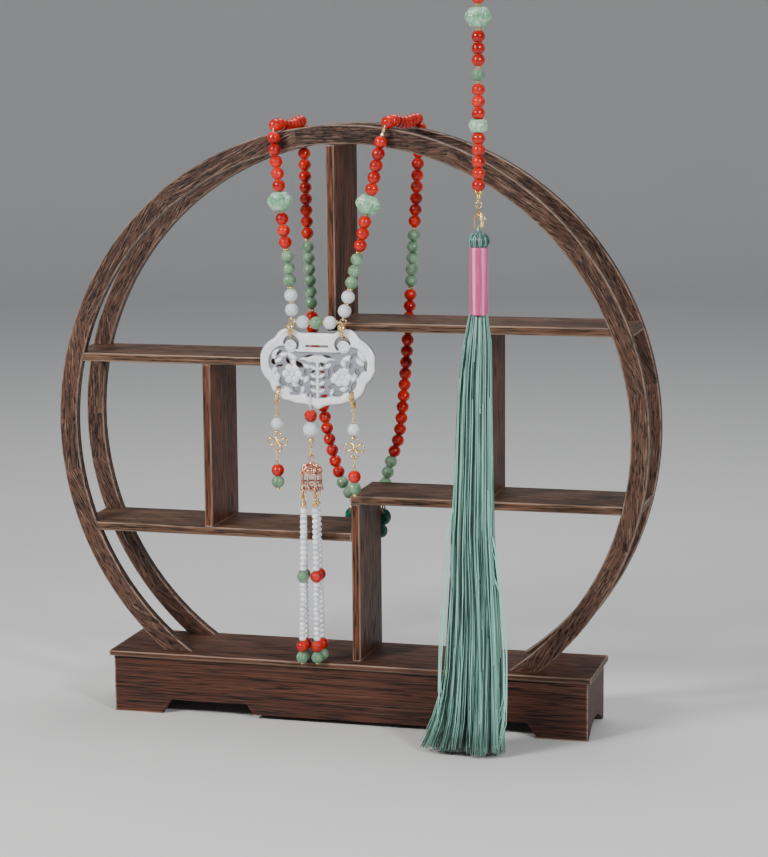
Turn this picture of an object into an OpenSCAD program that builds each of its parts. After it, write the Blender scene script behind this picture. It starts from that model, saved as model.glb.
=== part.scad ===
// Tassel necklace on a round wooden display stand, in millimetres.
// X runs to the right, Y to the back and Z up. The origin lies on the floor,
// under the middle of the whole part's box.

/* [Stand] */
// Outer radius of the two hoops
hoop_r = 180; // [178:0.5:182]
// Width of a hoop across its face
hoop_w = 11; // [9:0.5:13]
// Thickness of a hoop from front to back
hoop_t = 6.2; // [5:0.2:7]
// Thickness of the shelves and posts
board_t = 5; // [4:0.2:6]
// Length of the base board
base_l = 297; // [290:1:310]
// Depth of the base board
base_d = 58; // [58:1:64]
// Thickness of the base board
base_board_t = 3.2; // [2.4:0.2:4]
// Height of the base board's top above the floor
base_h = 38.2; // [38:0.1:38.4]
// Chamfer along the edges of the wood
ease = 0.6; // [0.2:0.1:0.9]

/* [Bead strings] */
// Diameter of the carnelian and aventurine beads
bead_d = 7.6; // [7:0.1:7.7]
// Length of one bead along its thread
bead_h = 6.7; // [6:0.1:6.7]
// Diameter of the white jade beads
jade_d = 7.9; // [7:0.1:8]
// Length of one white jade bead along its thread
jade_h = 7.2; // [6.6:0.1:7.2]
// Diameter of the threads
thread_d = 0.6; // [0.4:0.1:0.8]
// Clear space between neighbours on a thread
bead_gap = 0.15; // [0.12:0.01:0.2]

/* [Lock pendant] */
// Thickness of the lock's raised rim
lock_t = 4; // [3.6:0.1:4]
// Thickness of the pierced field inside the rim
field_t = 2.8; // [2:0.1:3]
// Width of the raised rim
rim_w = 5.6; // [5:0.1:6]

/* [Silk tassel] */
// Length of the silk below the winding
skirt_l = 250; // [240:1:250]
// Width of the silk at its lower end
skirt_w = 44; // [36:1:46]
// Outer diameter of the pink winding
wrap_d = 10.6; // [10:0.1:11]
// Locks that the silk falls into
lock_count = 15; // [9:2:21]

/* [Hidden] */
$fn = 48;

// Colours as the photo shows them
wood_colour = "#5b3a2c";
carnelian = "#c8290f";
aventurine = "#7fa585";
white_jade = "#e4e8e8";
pale_jade = "#a9cbb8";
teal_jade = "#1f6d62";
gold = "#e0bd80";
rose_gold = "#c98f6c";
silk_green = "#5f9a88";
satin_pink = "#e58fab";
thread_white = "#efe6dc";

// Depths, measured from the middle of the base board; place() moves them to the origin
mid_y = 22.1;
hoop_front_y = -20.5;
hoop_back_y = base_d / 2;
front_y = -24.6;
rear_y = 33.2;
lock_y = -26;
fringe_y = -27.2;
strand_y = -68;
fit = 0.1;
eps = 0.01;

// The stand
ring_z = 175.8;
tenon_r = hoop_r - 0.4;
shelf_z_left_upper = 216.8;
shelf_z_left_lower = 113.3;
shelf_z_right_upper = 238.6;
shelf_z_right_lower = 135.9;
post_x_top = -7.5;
post_x_left = -85.8;
post_x_right = 83;
post_x_centre = 5.6;
box_inset_x = 2.2;
box_inset_y = 2.5;
box_wall = 7;
foot_h = 9;
foot_in = 116;
foot_top = 110;
skirt_board_out = 62;
skirt_board_in = 58;
skirt_board_up = 3;
// The arched cut under the box's ends
arch_r = 34.5;
arch_z = -26;

// The beads
hole_d = 1.5;
spacer_d = 3.6;
spacer_h = 1.4;
thin_d = 3;
thin_h = 0.9;
tube_d = 2.4;
thread_eye_r = 1;
tube_h = 4.2;
lotus_w = 15.4;
lotus_h = 11.2;
lotus_t = 10;
drum_d = 11.4;
drum_h = 7;
strand_bead_d = 7.4;
strand_bead_h = 6.25;
// Room that a bead's drilled face needs, for each degree of a bend
bend_room = 0.033;

// The clasps that hold the lock; the lock swings about the centres of their rings
clasp_x = [-30.1, 1.1];
clasp_z = 236.9;
clasp_r = 4.3;
clasp_wire = 1.2;
jump_r = 1.8;
jump_wire = 0.7;
jump_z = clasp_z + clasp_r - clasp_wire / 2 - fit + jump_r - jump_wire / 2;

// The lock pendant, drawn about its own centre
lock_x = -14.5;
lock_z = 214;
top_lobe = [17.2, 15.1, 9.2];
side_lobe = [20.2, 4, 15.4];
low_lobe = [17.2, -6.8, 12.3];
plate_half_w = 13.5;
plate_top = 21.6;
plate_low = -18;
lip = [[17.2, -19], [14.4, -20.4], [8, -20.9], [3.5, -21.8], [0, -24]];
scroll = [15.6, 14.3];
crescent_r = 4.9;
crescent_z = 15;
scroll_r = 3.7;
scroll_z = 13.7;
slot_l = 13.6;
slot_h = 1.2;
slot_z = 13.7;
rosette = [15.4, -3.6];
petal_r = 2.5;
petal_ring = 3.4;

// The pierced gaps from the lock's centre: x, z, length, width, turn
GAP_X = 0;
GAP_Z = 1;
GAP_L = 2;
GAP_W = 3;
GAP_A = 4;
gaps = [
    [-27.2, 3.9, 3.6, 2, -75],
    [-23.4, 1.4, 4.6, 1.3, 15],
    [-18.3, 4.6, 4, 1.6, -65],
    [-11.2, 2.4, 5.6, 2.6, -38],
    [-7.4, -2.3, 3.8, 1.4, -75],
    [-22, -8, 5.6, 1.8, -56],
    [-12.9, -12.4, 5.4, 2.6, -18],
    [-10.3, -8.6, 3.2, 1.5, -60],
    [-4.2, -15, 5, 2.3, 16],
    [-3.2, -10.2, 3, 1, 12],
    [-3.2, -6, 3, 1, -12],
    [-3.1, -1.6, 3, 1.1, 30],
    [-5.6, 7.7, 5.6, 1, 14],
    [-23.6, 9.4, 4.4, 1.2, 44],
    [2.9, 2.6, 3.2, 1.4, -40],
    [3.1, -1.4, 3, 1, 0],
    [5.2, -5, 4.4, 1.1, 6],
    [7.2, -1.6, 4.2, 1.1, 86],
    [11.5, 0.9, 5.2, 3, 48],
    [8.4, -9.9, 3.6, 1.8, 30],
    [12.1, -14, 5.6, 2.9, 14],
    [4.1, -15.8, 5, 1.7, 10],
    [3.1, -10.6, 3, 1, -12],
    [21.7, 8.4, 5.2, 1.4, 42],
    [20.1, 2.5, 3.2, 1.3, 78],
    [24, -1, 4, 2, -62],
    [29.4, 2.4, 6.8, 1.9, 86],
    [21.8, -9.2, 5.4, 1.9, 50],
    [5.8, 7.6, 5.2, 1, -14]
];

// The holes in the lock's lower rim for the side drops, from the lock's centre, and the
// lean of the claw in each
rim_hole_r = 1.5;
SIDE_X = 0;
SIDE_Z = 1;
SIDE_LEAN = 2;
drop_left = [-23.6, -11.6, 12];
drop_right = [20.7, -13.55, -5];
rim_claw_w = 7.4;
rim_claw_h = 9.6;
rim_claw_wire = 1;
rim_claw_t = 1.2;
// From the hole's lower edge to the claw's middle and to the ring in its lower end
claw_mid = 2.68;
claw_end = claw_mid + rim_claw_h / 2 + 0.04;
eye_r = 1.1;
eye_wire = 0.5;
drop_ring_r = 1.6;
drop_ring_wire = 0.6;
// Heights below a side drop's first ring; the two links with their sizes
link_w = 3.2;
link_wire = 0.6;
drop_link_h = 6.8;
drop_link_dz = -3.95;
drop_eye_dz = -7.4;
drop_jade_dz = -12.45;
drop_low_eye_dz = -17.5;
clover_dz = -23.4;
clover_petal_r = 2.3;
clover_petal_at = 3.8;
clover_wire = 0.8;
drop_low_link_h = 7.6;
drop_low_link_dz = -31.7;
drop_head_dz = -35.57;
drop_red_dz = -40.4;
drop_green_dz = -47.25;
drop_foot_dz = -50.75;
drop_foot_d = 2.2;
drop_foot_h = 1.2;
pin_d = 0.7;
drop_y = lock_y;

// The centre drop: z of its pieces
drop_x = -18.9;
hang_z = 194.8;
hang_w = 7;
hang_h = 9;
drop_bead_z = 186.5;
drop_jade_z = 178.5;
drop_jade_d = 9.6;
drop_jade_h = 8.8;
drop_ball_z = 171.9;
drop_ball_d = 3.6;
drop_ring_z = 165.3;
cap_eye_z = 161.72;
cap_eye_r = 1.5;
cap_eye_wire = 0.8;
cap_top_z = 158.3;
cap_low_z = 142.4;
cap_eyes_z = 142.3;
cap_r = 6.9;
cap_wall = 0.9;
cap_floor = 0.8;
string_at = [[-22.1, -33.5], [-24.4, -26], [-15.5, -31.5], [-16.5, -23.7]];
string_lean = [1.3, 0, 0, -1.2];
string_ring_z = 139.85;
string_clip_z = 136.2;
string_loop_z = 133.75;
string_loop_r = 1.05;
string_top_z = 132.3;
string_bead_z = 91.2;
string_low_z = 52.4;
string_d = 4.3;
string_bead_d = 7.2;
string_bead_h = 6.5;
string_tip_d = 2;
string_tip_z = 38.45;
string_tip_h = 0.45;

// The back pendant
back_x = -1.5;
back_z = 111.7;
back_hole = 10;
back_t = 4.6;

// The strand with the silk tassel: z of its pieces, from the clasp up
strand_x = 91.6;
strand_low_z = 320;
loop_z = 300.1;
strand_claw_z = 304.45;
strand_link_z = 310.1;
strand_ring_z = 313.6;
strand_eye_z = 315.6;
strand_ball_z = 318.2;
strand_ball_d = 3.4;
silk_top_z = 299.2;
wrap_top_z = 290.4;
wrap_h = 37.6;
silk_core_r = 4.2;
silk_sway = -4;
silk_kick = -9;
loop_r = 1.7;

// The route of each bead string, from its jump ring over the hoops to the back pendant
left_route = [
    [-30.1, lock_y, 244.9], [-30.2, -25.8, 251], [-31.1, -25.2, 264], [-32.9, front_y, 281],
    [-35.2, front_y, 298], [-36.6, front_y, 312], [-37.6, front_y, 325], [-39.4, front_y, 340],
    [-40, front_y, 349], [-39.9, -23.8, 353.5], [-39.8, -21.2, 355.8], [-39.6, -17.4, 356],
    [-39.5, -12, 355.6], [-39.5, -3, 354.6], [-39.5, 4.2, 354.2], [-39.5, 12, 354.6],
    [-39.5, 20, 355.6], [-39.5, 26, 356], [-39.6, 29.8, 355.8], [-39.6, 32.4, 353.5],
    [-39.5, rear_y, 349], [-39.2, rear_y, 335], [-38.6, rear_y, 311], [-37.8, rear_y, 284],
    [-36.3, rear_y, 253], [-35, rear_y, 228], [-32.6, rear_y, 206], [-30, rear_y, 188],
    [-26.8, rear_y, 168.5], [-22.2, rear_y, 150], [-17.3, rear_y, 135.8],
    [-12.4, rear_y, 128.4], [-11.5, rear_y, 124.7]
];
right_route = [
    [1.1, lock_y, 244.9], [2.3, -25.8, 249.5], [4.2, -25.4, 257], [6.1, -25, 264.5],
    [9.2, front_y, 277], [12.2, front_y, 289], [14.2, front_y, 299], [16.4, front_y, 309.5],
    [18.6, front_y, 318], [21.2, front_y, 331], [23.8, front_y, 344], [25.8, front_y, 351.8],
    [27.2, -23.7, 355.6], [28.2, -21, 357.8], [28.9, -17.4, 358], [29.4, -12, 357.6],
    [29.9, -3, 356.7], [30.5, 4.2, 356.3], [31, 12, 356.5], [31.6, 20, 357.2],
    [32, 26, 357.4], [32.6, 29.8, 357], [33, 32.4, 354.6], [33, rear_y, 349.5],
    [31.6, rear_y, 335], [30.3, rear_y, 312], [28.8, rear_y, 291], [26.9, rear_y, 262],
    [25.2, rear_y, 238], [23.4, rear_y, 213], [21.2, rear_y, 187], [18.4, rear_y, 166],
    [14.4, rear_y, 153.5], [10.8, rear_y, 142], [8.9, rear_y, 132], [8.5, rear_y, 124.7]
];
cross_route = [[-27.1, lock_y, 241.8], [-21, lock_y, 241.4], [-14.5, lock_y, 241.2],
    [-8, lock_y, 241.4], [-1.9, lock_y, 241.8]];

// The beads in order, one letter each: W white jade, G aventurine, R carnelian, L lotus,
// S spacer, s thin spacer, T gold tube. The front run starts at the jump ring, the rear run
// at the back pendant, and carnelians fill the space between them.
left_front_run = "WsWSGGGSRRRsLRRRRR";
right_front_run = "WsWSGGGSRRRsLRRRRRTR";
left_rear_run = "SGGRRRRRRRRRRRRRRRSGGGGGGSRRRRRRRRRRRR";
right_rear_run = "SGGGGRRRRRRRRRRRRRRRSGGGGGSRRRRRRRRRRR";
cross_run = "WsGsWs";

// Curves and places along them

// A smooth curve through the points p, with n steps between neighbours
function blend4(a, b, c, d, t) =
    0.5 * (2 * b + (c - a) * t + (2 * a - 5 * b + 4 * c - d) * t * t
    + (3 * b - a - 3 * c + d) * t * t * t);
function smooth(p, n) = concat(
    [for (i = [0 : len(p) - 2]) for (k = [0 : n - 1])
        blend4(p[max(i - 1, 0)], p[i], p[i + 1], p[min(i + 2, len(p) - 1)], k / n)],
    [p[len(p) - 1]]);
// The running length at each point of p
function running(p) = [for (i = 0, s = 0; i < len(p);
    s = s + (i + 1 < len(p) ? norm(p[i + 1] - p[i]) : 0), i = i + 1) s];
// The step of the curve that holds the length s, and the point there
function step_at(r, s) = min(len(r) - 2, max([for (i = [0 : len(r) - 2]) if (i == 0 || r[i] <= s) i]));
function point_at(p, r, s) = let (i = step_at(r, s))
    p[i] + (p[i + 1] - p[i]) * (s - r[i]) / (r[i + 1] - r[i]);
function unit(v) = v / norm(v);
function heading_at(p, r, s) = unit(point_at(p, r, s + 2) - point_at(p, r, s - 2));

// The length of a bead along the thread
function size_of(k) = k == "W" ? jade_h : k == "L" ? lotus_h : k == "S" ? spacer_h :
    k == "s" ? thin_h : k == "T" ? tube_h : bead_h;
// The place of the next bead's middle, a straight step d past c, where a bend needs a little
// more room; the step along the curve is mended twice by what the chord falls short
function chord_of(p, r, c, step) = norm(point_at(p, r, c + step) - point_at(p, r, c));
function next_middle(p, r, c, d) = let (
    turn = acos(min(1, heading_at(p, r, c) * heading_at(p, r, c + d))),
    goal = d + min(bend_room * turn, bead_d - bead_h),
    step = 2 * goal - chord_of(p, r, c, goal))
    c + step + goal - chord_of(p, r, c, step);
// The middles of a run's beads, from the start of the curve
function lay(p, r, run, i = 0, c = 0) = i == len(run) ? [] : let (
    here = i == 0 ? size_of(run[0]) / 2 + bead_gap
        : next_middle(p, r, c, (size_of(run[i - 1]) + size_of(run[i])) / 2 + bead_gap))
    concat([here], lay(p, r, run, i + 1, here));
// The middles of carnelians that follow the point c, each with the extra room more, up to stop
function fill(p, r, c, extra, stop) = let (
    here = next_middle(p, r, c, bead_h + bead_gap + extra))
    here > stop - bead_h - bead_gap - extra + eps ? [] : concat([here], fill(p, r, here, extra, stop));
// The same, with the room that is left over shared out evenly
function even_fill(p, r, c, stop) = let (
    tight = fill(p, r, c, 0, stop),
    left = stop - bead_h - bead_gap - tight[len(tight) - 1])
    fill(p, r, c, 0.96 * left / (len(tight) + 1), stop);
function reversed(p) = [for (i = [len(p) - 1 : -1 : 0]) p[i]];
function last(v) = v[len(v) - 1];

// Each string's curve, and the same curve from its rear end, with their running lengths
left_curve = smooth(left_route, 4);
left_running = running(left_curve);
left_back_curve = reversed(left_curve);
left_back_running = running(left_back_curve);
right_curve = smooth(right_route, 4);
right_running = running(right_curve);
right_back_curve = reversed(right_curve);
right_back_running = running(right_back_curve);
cross_curve = smooth(cross_route, 3);
cross_running = running(cross_curve);
left_front_at = lay(left_curve, left_running, left_front_run);
left_rear_at = lay(left_back_curve, left_back_running, left_rear_run);
left_fill_at = even_fill(left_curve, left_running, last(left_front_at),
    last(left_running) - last(left_rear_at));
right_front_at = lay(right_curve, right_running, right_front_run);
right_rear_at = lay(right_back_curve, right_back_running, right_rear_run);
right_fill_at = even_fill(right_curve, right_running, last(right_front_at),
    last(right_running) - last(right_rear_at));
cross_at = lay(cross_curve, cross_running, cross_run);

// Moves a piece from the middle of the base board to the part's own frame
module place() {
    translate([0, mid_y, 0]) children();
}

// Turns children from the Z axis to the heading h, and moves them to the point at
module aim(at, h) {
    translate(at) rotate([0, acos(h[2]), atan2(h[1], h[0])]) children();
}

// Wood

// A bar along X with its four long edges eased, from x0 to x1, centred on z
module board_x(x0, x1, y0, y1, z, t) {
    translate([x0, 0, z]) rotate([90, 0, 90]) linear_extrude(x1 - x0)
        eased_rect(y0, y1, -t / 2, t / 2);
}

// A bar along Z with its four long edges eased, centred on x
module board_z(x, y0, y1, z0, z1, t) {
    translate([0, 0, z0]) linear_extrude(z1 - z0) eased_rect(x - t / 2, x + t / 2, y0, y1);
}

module eased_rect(a0, a1, b0, b1) {
    polygon([[a0 + ease, b0], [a1 - ease, b0], [a1, b0 + ease], [a1, b1 - ease],
        [a1 - ease, b1], [a0 + ease, b1], [a0, b1 - ease], [a0, b0 + ease]]);
}

// A round plate of the hoops' axis, between two depths
module disc_y(r, y0, y1) {
    translate([0, y1, ring_z]) rotate([90, 0, 0]) cylinder(h = y1 - y0, r = r, $fn = 160);
}

// One hoop, cut flat where it stands on the base board
module hoop(y0) {
    color(wood_colour) place() intersection() {
        translate([0, y0 + hoop_t, ring_z]) rotate([90, 0, 0]) rotate_extrude($fn = 160)
            eased_rect(hoop_r - hoop_w, hoop_r, 0, hoop_t);
        translate([-hoop_r - 1, y0 - 1, base_h + fit / 2]) cube([2 * hoop_r + 2, hoop_t + 2, 2 * hoop_r]);
    }
}

module hoop_front() hoop(hoop_front_y);
module hoop_back() hoop(hoop_back_y - hoop_t);

// A shelf whose end fits inside the hoops and whose tenon passes between them
module shelf(x0, x1, z) {
    color(wood_colour) place() union() {
        intersection() {
            board_x(x0, x1, hoop_front_y, hoop_back_y, z, board_t);
            disc_y(hoop_r - hoop_w - fit, hoop_front_y - 1, hoop_back_y + 1);
        }
        intersection() {
            board_x(x0, x1, hoop_front_y + hoop_t + fit, hoop_back_y - hoop_t - fit, z, board_t);
            disc_y(tenon_r, hoop_front_y - 1, hoop_back_y + 1);
        }
    }
}

module shelf_left_upper() shelf(-hoop_r, lock_x - 1, shelf_z_left_upper);
module shelf_left_lower() shelf(-hoop_r, post_x_centre - board_t / 2 - fit, shelf_z_left_lower);
module shelf_right_upper() shelf(post_x_top - board_t / 2, hoop_r, shelf_z_right_upper);
module shelf_right_lower() shelf(post_x_centre - board_t / 2 - 0.4, hoop_r, shelf_z_right_lower);

// A post between two heights
module post(x, z0, z1) {
    color(wood_colour) place() board_z(x, hoop_front_y, hoop_back_y, z0, z1, board_t);
}

module post_top() {
    post_top_z = ring_z + sqrt(pow(hoop_r - hoop_w, 2) - pow(post_x_top, 2)) - 0.6;
    post(post_x_top, shelf_z_right_upper + board_t / 2 + fit, post_top_z);
}
module post_left() post(post_x_left, shelf_z_left_lower + board_t / 2 + fit,
    shelf_z_left_upper - board_t / 2 - fit);
module post_right() post(post_x_right, shelf_z_right_lower + board_t / 2 + fit,
    shelf_z_right_upper - board_t / 2 - fit);
module post_centre() post(post_x_centre, base_h + fit, shelf_z_right_lower - board_t / 2 - fit);

module base_board() {
    color(wood_colour) place() translate([0, 0, base_h - base_board_t / 2])
        board_x(-base_l / 2, base_l / 2, -base_d / 2, base_d / 2, 0, base_board_t);
}

// The box under the base board, open below, with feet at its corners
module base_box() {
    box_l = base_l - 2 * box_inset_x;
    box_d = base_d - 2 * box_inset_y;
    box_h = base_h - base_board_t - fit;
    color(wood_colour) place() difference() {
        translate([-box_l / 2, -box_d / 2, 0]) cube([box_l, box_d, box_h]);
        translate([-box_l / 2 + box_wall, -box_d / 2 + box_wall, -1])
            cube([box_l - 2 * box_wall, box_d - 2 * box_wall, box_h - 2]);
        for (m = [0, 1]) mirror([m, 0, 0]) translate([0, box_d, 0]) rotate([90, 0, 0])
            linear_extrude(2 * box_d)
                polygon([[-eps, -1], [foot_in, -1], [foot_in, 1], [foot_top, foot_h],
                    [skirt_board_out, foot_h], [skirt_board_in, skirt_board_up], [-eps, skirt_board_up]]);
        translate([-box_l, 0, arch_z]) rotate([0, 90, 0]) cylinder(h = 2 * box_l, r = arch_r, $fn = 120);
    }
}

// Beads

// A round bead with flat drilled ends, its hole along Z
module bead(d, h) {
    difference() {
        intersection() {
            sphere(d = d, $fn = 40);
            cube([2 * d, 2 * d, h], center = true);
        }
        cylinder(h = 2 * d, d = hole_d, center = true, $fn = 24);
    }
}

// A flat-ended gold ring, its hole along Z
module spacer(d, h) {
    difference() {
        cylinder(h = h, d = d, center = true, $fn = 24);
        cylinder(h = 2 * h, d = hole_d, center = true, $fn = 24);
    }
}

// Rings of points, one above the other, joined into a closed skin
module skin(rings) {
    n = len(rings[0]);
    m = len(rings);
    polyhedron(
        points = [for (r = rings) each r],
        faces = concat(
            [[for (i = [0 : n - 1]) i]],
            [for (j = [0 : m - 2]) for (i = [0 : n - 1]) let (k = (i + 1) % n)
                each [[j * n + i, (j + 1) * n + k, j * n + k], [j * n + i, (j + 1) * n + i, (j + 1) * n + k]]],
            [[for (i = [n - 1 : -1 : 0]) (m - 1) * n + i]]),
        convexity = 8);
}

// A lotus bead: a wide flower with eight ribs, thicker across than through, its hole along Z.
// The profile gives the height and the width as shares of the whole.
lotus_profile = [[-0.5, 0.36], [-0.42, 0.56], [-0.22, 0.8], [-0.05, 0.98], [0.06, 1], [0.24, 0.86],
    [0.42, 0.62], [0.5, 0.4]];
module lotus(w, h, t) {
    sides = 16;
    difference() {
        skin([for (p = lotus_profile) [for (i = [0 : sides - 1]) let (a = 360 * i / sides,
            rib = i % 2 == 0 ? 1 : 0.93)
            [p[1] * rib * w / 2 * cos(a), p[1] * rib * t / 2 * sin(a), p[0] * h]]]);
        cylinder(h = 2 * h, d = hole_d, center = true, $fn = 12);
    }
}

// A carved drum bead, widest at its middle
module drum(d, h) {
    difference() {
        intersection() {
            sphere(d = d, $fn = 40);
            cube([2 * d, 2 * d, h], center = true);
        }
        cylinder(h = 2 * h, d = hole_d, center = true, $fn = 24);
    }
}

// One bead of the kind k
module bead_of(k) {
    if (k == "W") bead(jade_d, jade_h);
    if (k == "R" || k == "G") bead(bead_d, bead_h);
    if (k == "S") spacer(spacer_d, spacer_h);
    if (k == "s") spacer(thin_d, thin_h);
    if (k == "T") spacer(tube_d, tube_h);
    if (k == "L") lotus(lotus_w, lotus_h, lotus_t);
}

// The beads of the kind k in a run, at the places at along a curve
module beads(curve, lengths, run, at, k) {
    for (i = [0 : len(run) - 1]) if (run[i] == k)
        aim(point_at(curve, lengths, at[i]), heading_at(curve, lengths, at[i])) bead_of(k);
}

// Carnelians at the places at along a curve
module filling(curve, lengths, at) {
    for (s = at) aim(point_at(curve, lengths, s), heading_at(curve, lengths, s)) bead_of("R");
}

module left_front(k) beads(left_curve, left_running, left_front_run, left_front_at, k);
module left_rear(k) beads(left_back_curve, left_back_running, left_rear_run, left_rear_at, k);
module right_front(k) beads(right_curve, right_running, right_front_run, right_front_at, k);
module right_rear(k) beads(right_back_curve, right_back_running, right_rear_run, right_rear_at, k);
module across(k) beads(cross_curve, cross_running, cross_run, cross_at, k);

// The two ends of each bead of a run, at the places at along a curve
function bore_ends(p, r, run, at) = [for (i = [0 : len(at) - 1]) for (e = [-0.5, 0.5])
    point_at(p, r, at[i]) + e * size_of(run[i]) * heading_at(p, r, at[i])];
// A thread's points along the curve p, whose beads have the ends e: it bends only between
// neighbours, so that it runs down the middle of every bore
function thread_points(p, e) = concat([p[0]], [for (i = [1 : len(e) - 2]) e[i]], [last(p)]);
// The same from a string's front run over its filling to its rear run
function string_points(p, r, front, front_at, fill_at, rear, rear_at) = thread_points(p, concat(
    bore_ends(p, r, front, front_at),
    bore_ends(p, r, [for (s = fill_at) "R"], fill_at),
    bore_ends(p, r, reversed(rear), [for (s = reversed(rear_at)) last(r) - s])));

// A thread through the points of a path, six-sided
module thread_along(path) {
    n = len(path);
    skin([for (i = [0 : n - 1]) let (
        h = unit(path[min(i + 1, n - 1)] - path[max(i - 1, 0)]),
        side = unit(cross(h, abs(h[0]) > 0.9 ? [0, 0, 1] : [1, 0, 0])),
        up = cross(h, side))
        [for (a = [0 : 60 : 300]) path[i] + thread_d / 2 * (cos(a) * side + sin(a) * up)]]);
}

// The small loop that ends a thread, in the YZ plane, its top at the point at
module thread_eye(at) {
    translate(at - [0, 0, thread_eye_r]) rotate([0, 0, 90]) rotate([90, 0, 0])
        rotate_extrude($fn = 24) translate([thread_eye_r, 0]) circle(d = thread_d, $fn = 8);
}

// A string's thread with a loop round its jump ring and one round the back pendant's ring
module string_thread(points) {
    color(thread_white) place() {
        thread_along(points);
        thread_eye(points[0]);
        translate(last(points)) rotate([0, 0, 90]) thread_eye([0, 0, 0]);
    }
}
module thread_left() string_thread(string_points(left_curve, left_running, left_front_run,
    left_front_at, left_fill_at, left_rear_run, left_rear_at));
module thread_right() string_thread(string_points(right_curve, right_running, right_front_run,
    right_front_at, right_fill_at, right_rear_run, right_rear_at));
// The cross thread, whose end loops lie flat round the two jump rings
module thread_cross() color(thread_white) place() {
    thread_along(thread_points(cross_curve,
        bore_ends(cross_curve, cross_running, cross_run, cross_at)));
    translate(cross_route[0]) rotate([0, 90, 0]) thread_eye([0, 0, 0]);
    translate(last(cross_route)) rotate([0, -90, 0]) thread_eye([0, 0, 0]);
}

module carnelians_left_front() color(carnelian) place() {
    left_front("R");
    filling(left_curve, left_running, left_fill_at);
}
module carnelians_left_rear() color(carnelian) place() left_rear("R");
module carnelians_right_front() color(carnelian) place() {
    right_front("R");
    filling(right_curve, right_running, right_fill_at);
}
module carnelians_right_rear() color(carnelian) place() right_rear("R");
module aventurines_left_front() color(aventurine) place() left_front("G");
module aventurines_left_rear() color(aventurine) place() left_rear("G");
module aventurines_right_front() color(aventurine) place() right_front("G");
module aventurines_right_rear() color(aventurine) place() right_rear("G");
module aventurine_cross() color(aventurine) place() across("G");
module jades_left() color(white_jade) place() left_front("W");
module jades_right() color(white_jade) place() right_front("W");
module jades_cross() color(white_jade) place() across("W");
module lotus_left() color(pale_jade) place() left_front("L");
module lotus_right() color(pale_jade) place() right_front("L");
module spacers_left() color(gold) place() {
    for (k = ["S", "s"]) left_front(k);
    left_rear("S");
    across("s");
}
module spacers_right() color(gold) place() {
    for (k = ["S", "s", "T"]) right_front(k);
    right_rear("S");
}

// Findings

// A flat oval: a bar with round ends, height h over width w, in the XY plane
module oval(w, h) {
    run = h - w;
    square([w, run], center = true);
    for (s = [-1, 1]) translate([0, s * run / 2]) circle(d = w);
}

// A link cut from plate: an oval with an oval hole, its height along Z and its faces square to Y
module link(w, h, wire, t) {
    rotate([90, 0, 0]) linear_extrude(t, center = true) difference() {
        oval(w, h);
        oval(w - 2 * wire, h - 2 * wire);
    }
}

// A ring in the XZ plane
module ring(r, wire) {
    rotate([90, 0, 0]) rotate_extrude($fn = 48) translate([r, 0]) circle(d = wire, $fn = 16);
}

// The clasp that carries the lock: a round claw in the YZ plane, thick at its back, with a latch
module lock_clasp(x) {
    color(gold) place() translate([x, lock_y, clasp_z]) rotate([0, 0, 90]) {
        ring(clasp_r, clasp_wire);
        translate([-clasp_r, 0, 1.2]) stud(2, clasp_wire, 3.4);
        translate([clasp_r + 0.2, 0, -0.4]) stud(1.4, clasp_wire, 1.8);
    }
}

// A thicker place of a clasp, w by h and t through
module stud(w, t, h) {
    rotate([90, 0, 0]) linear_extrude(t, center = true) oval(w, h);
}

module clasp_left() lock_clasp(clasp_x[0]);
module clasp_right() lock_clasp(clasp_x[1]);
module jump_ring_left() color(gold) place() translate([clasp_x[0], lock_y, jump_z]) ring(jump_r, jump_wire);
module jump_ring_right() color(gold) place() translate([clasp_x[1], lock_y, jump_z]) ring(jump_r, jump_wire);

// The back pendant: a carved cloud with six lobes, a raised heart and two holes
module cloud(grow) {
    circle(r = 8.6 + grow, $fn = 40);
    for (m = [-1, 1]) {
        translate([m * 9.2, 4.2]) circle(r = 5.4 + grow, $fn = 40);
        translate([m * 8, -4.6]) circle(r = 4.4 + grow, $fn = 40);
    }
    translate([0, 6.6]) circle(r = 5 + grow, $fn = 40);
    translate([0, -7]) circle(r = 4.4 + grow, $fn = 40);
}

module back_pendant() {
    color(teal_jade) place() translate([back_x, rear_y, back_z]) difference() {
        rotate([90, 0, 0]) union() {
            linear_extrude(back_t - 1.2, center = true) cloud(0);
            linear_extrude(back_t, center = true) difference() {
                cloud(0);
                cloud(-1.4);
            }
            linear_extrude(back_t, center = true) for (a = [90 : 72 : 378])
                translate([3.6 * cos(a), 3.6 * sin(a)]) circle(r = 1.9, $fn = 24);
        }
        for (s = [-1, 1]) translate([s * back_hole, 0, 6.4]) rotate([90, 0, 0])
            cylinder(h = 3 * back_t, d = 2.8, center = true, $fn = 24);
    }
}

// The rings that join the two threads to the back pendant
module back_rings() {
    color(gold) place() for (s = [-1, 1]) translate([back_x + s * back_hole, rear_y, back_z + 8.9])
        rotate([0, 0, 90]) link(6.4, 7, 0.7, 0.8);
}

// The lock pendant

// The lock's outline, drawn inwards by inset
module lock_outline(inset) {
    for (m = [-1, 1]) for (lobe = [top_lobe, side_lobe, low_lobe])
        translate([m * lobe[0], lobe[1]]) circle(r = lobe[2] - inset, $fn = 96);
    translate([-plate_half_w + inset, plate_low + inset])
        square([2 * (plate_half_w - inset), plate_top - plate_low - 2 * inset]);
    polygon(concat([for (p = lip) [p[0], p[1] + 1.1 * inset]],
        [for (i = [len(lip) - 2 : -1 : 0]) [-lip[i][0], lip[i][1] + 1.1 * inset]], [[-10, 0], [10, 0]]));
}

// A pointed gap: two arcs that meet at its ends
module lens(l, w) {
    r = (l * l / 4 + w * w / 4) / w;
    intersection() {
        translate([0, r - w / 2]) circle(r = r, $fn = 64);
        translate([0, -r + w / 2]) circle(r = r, $fn = 64);
    }
}

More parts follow.
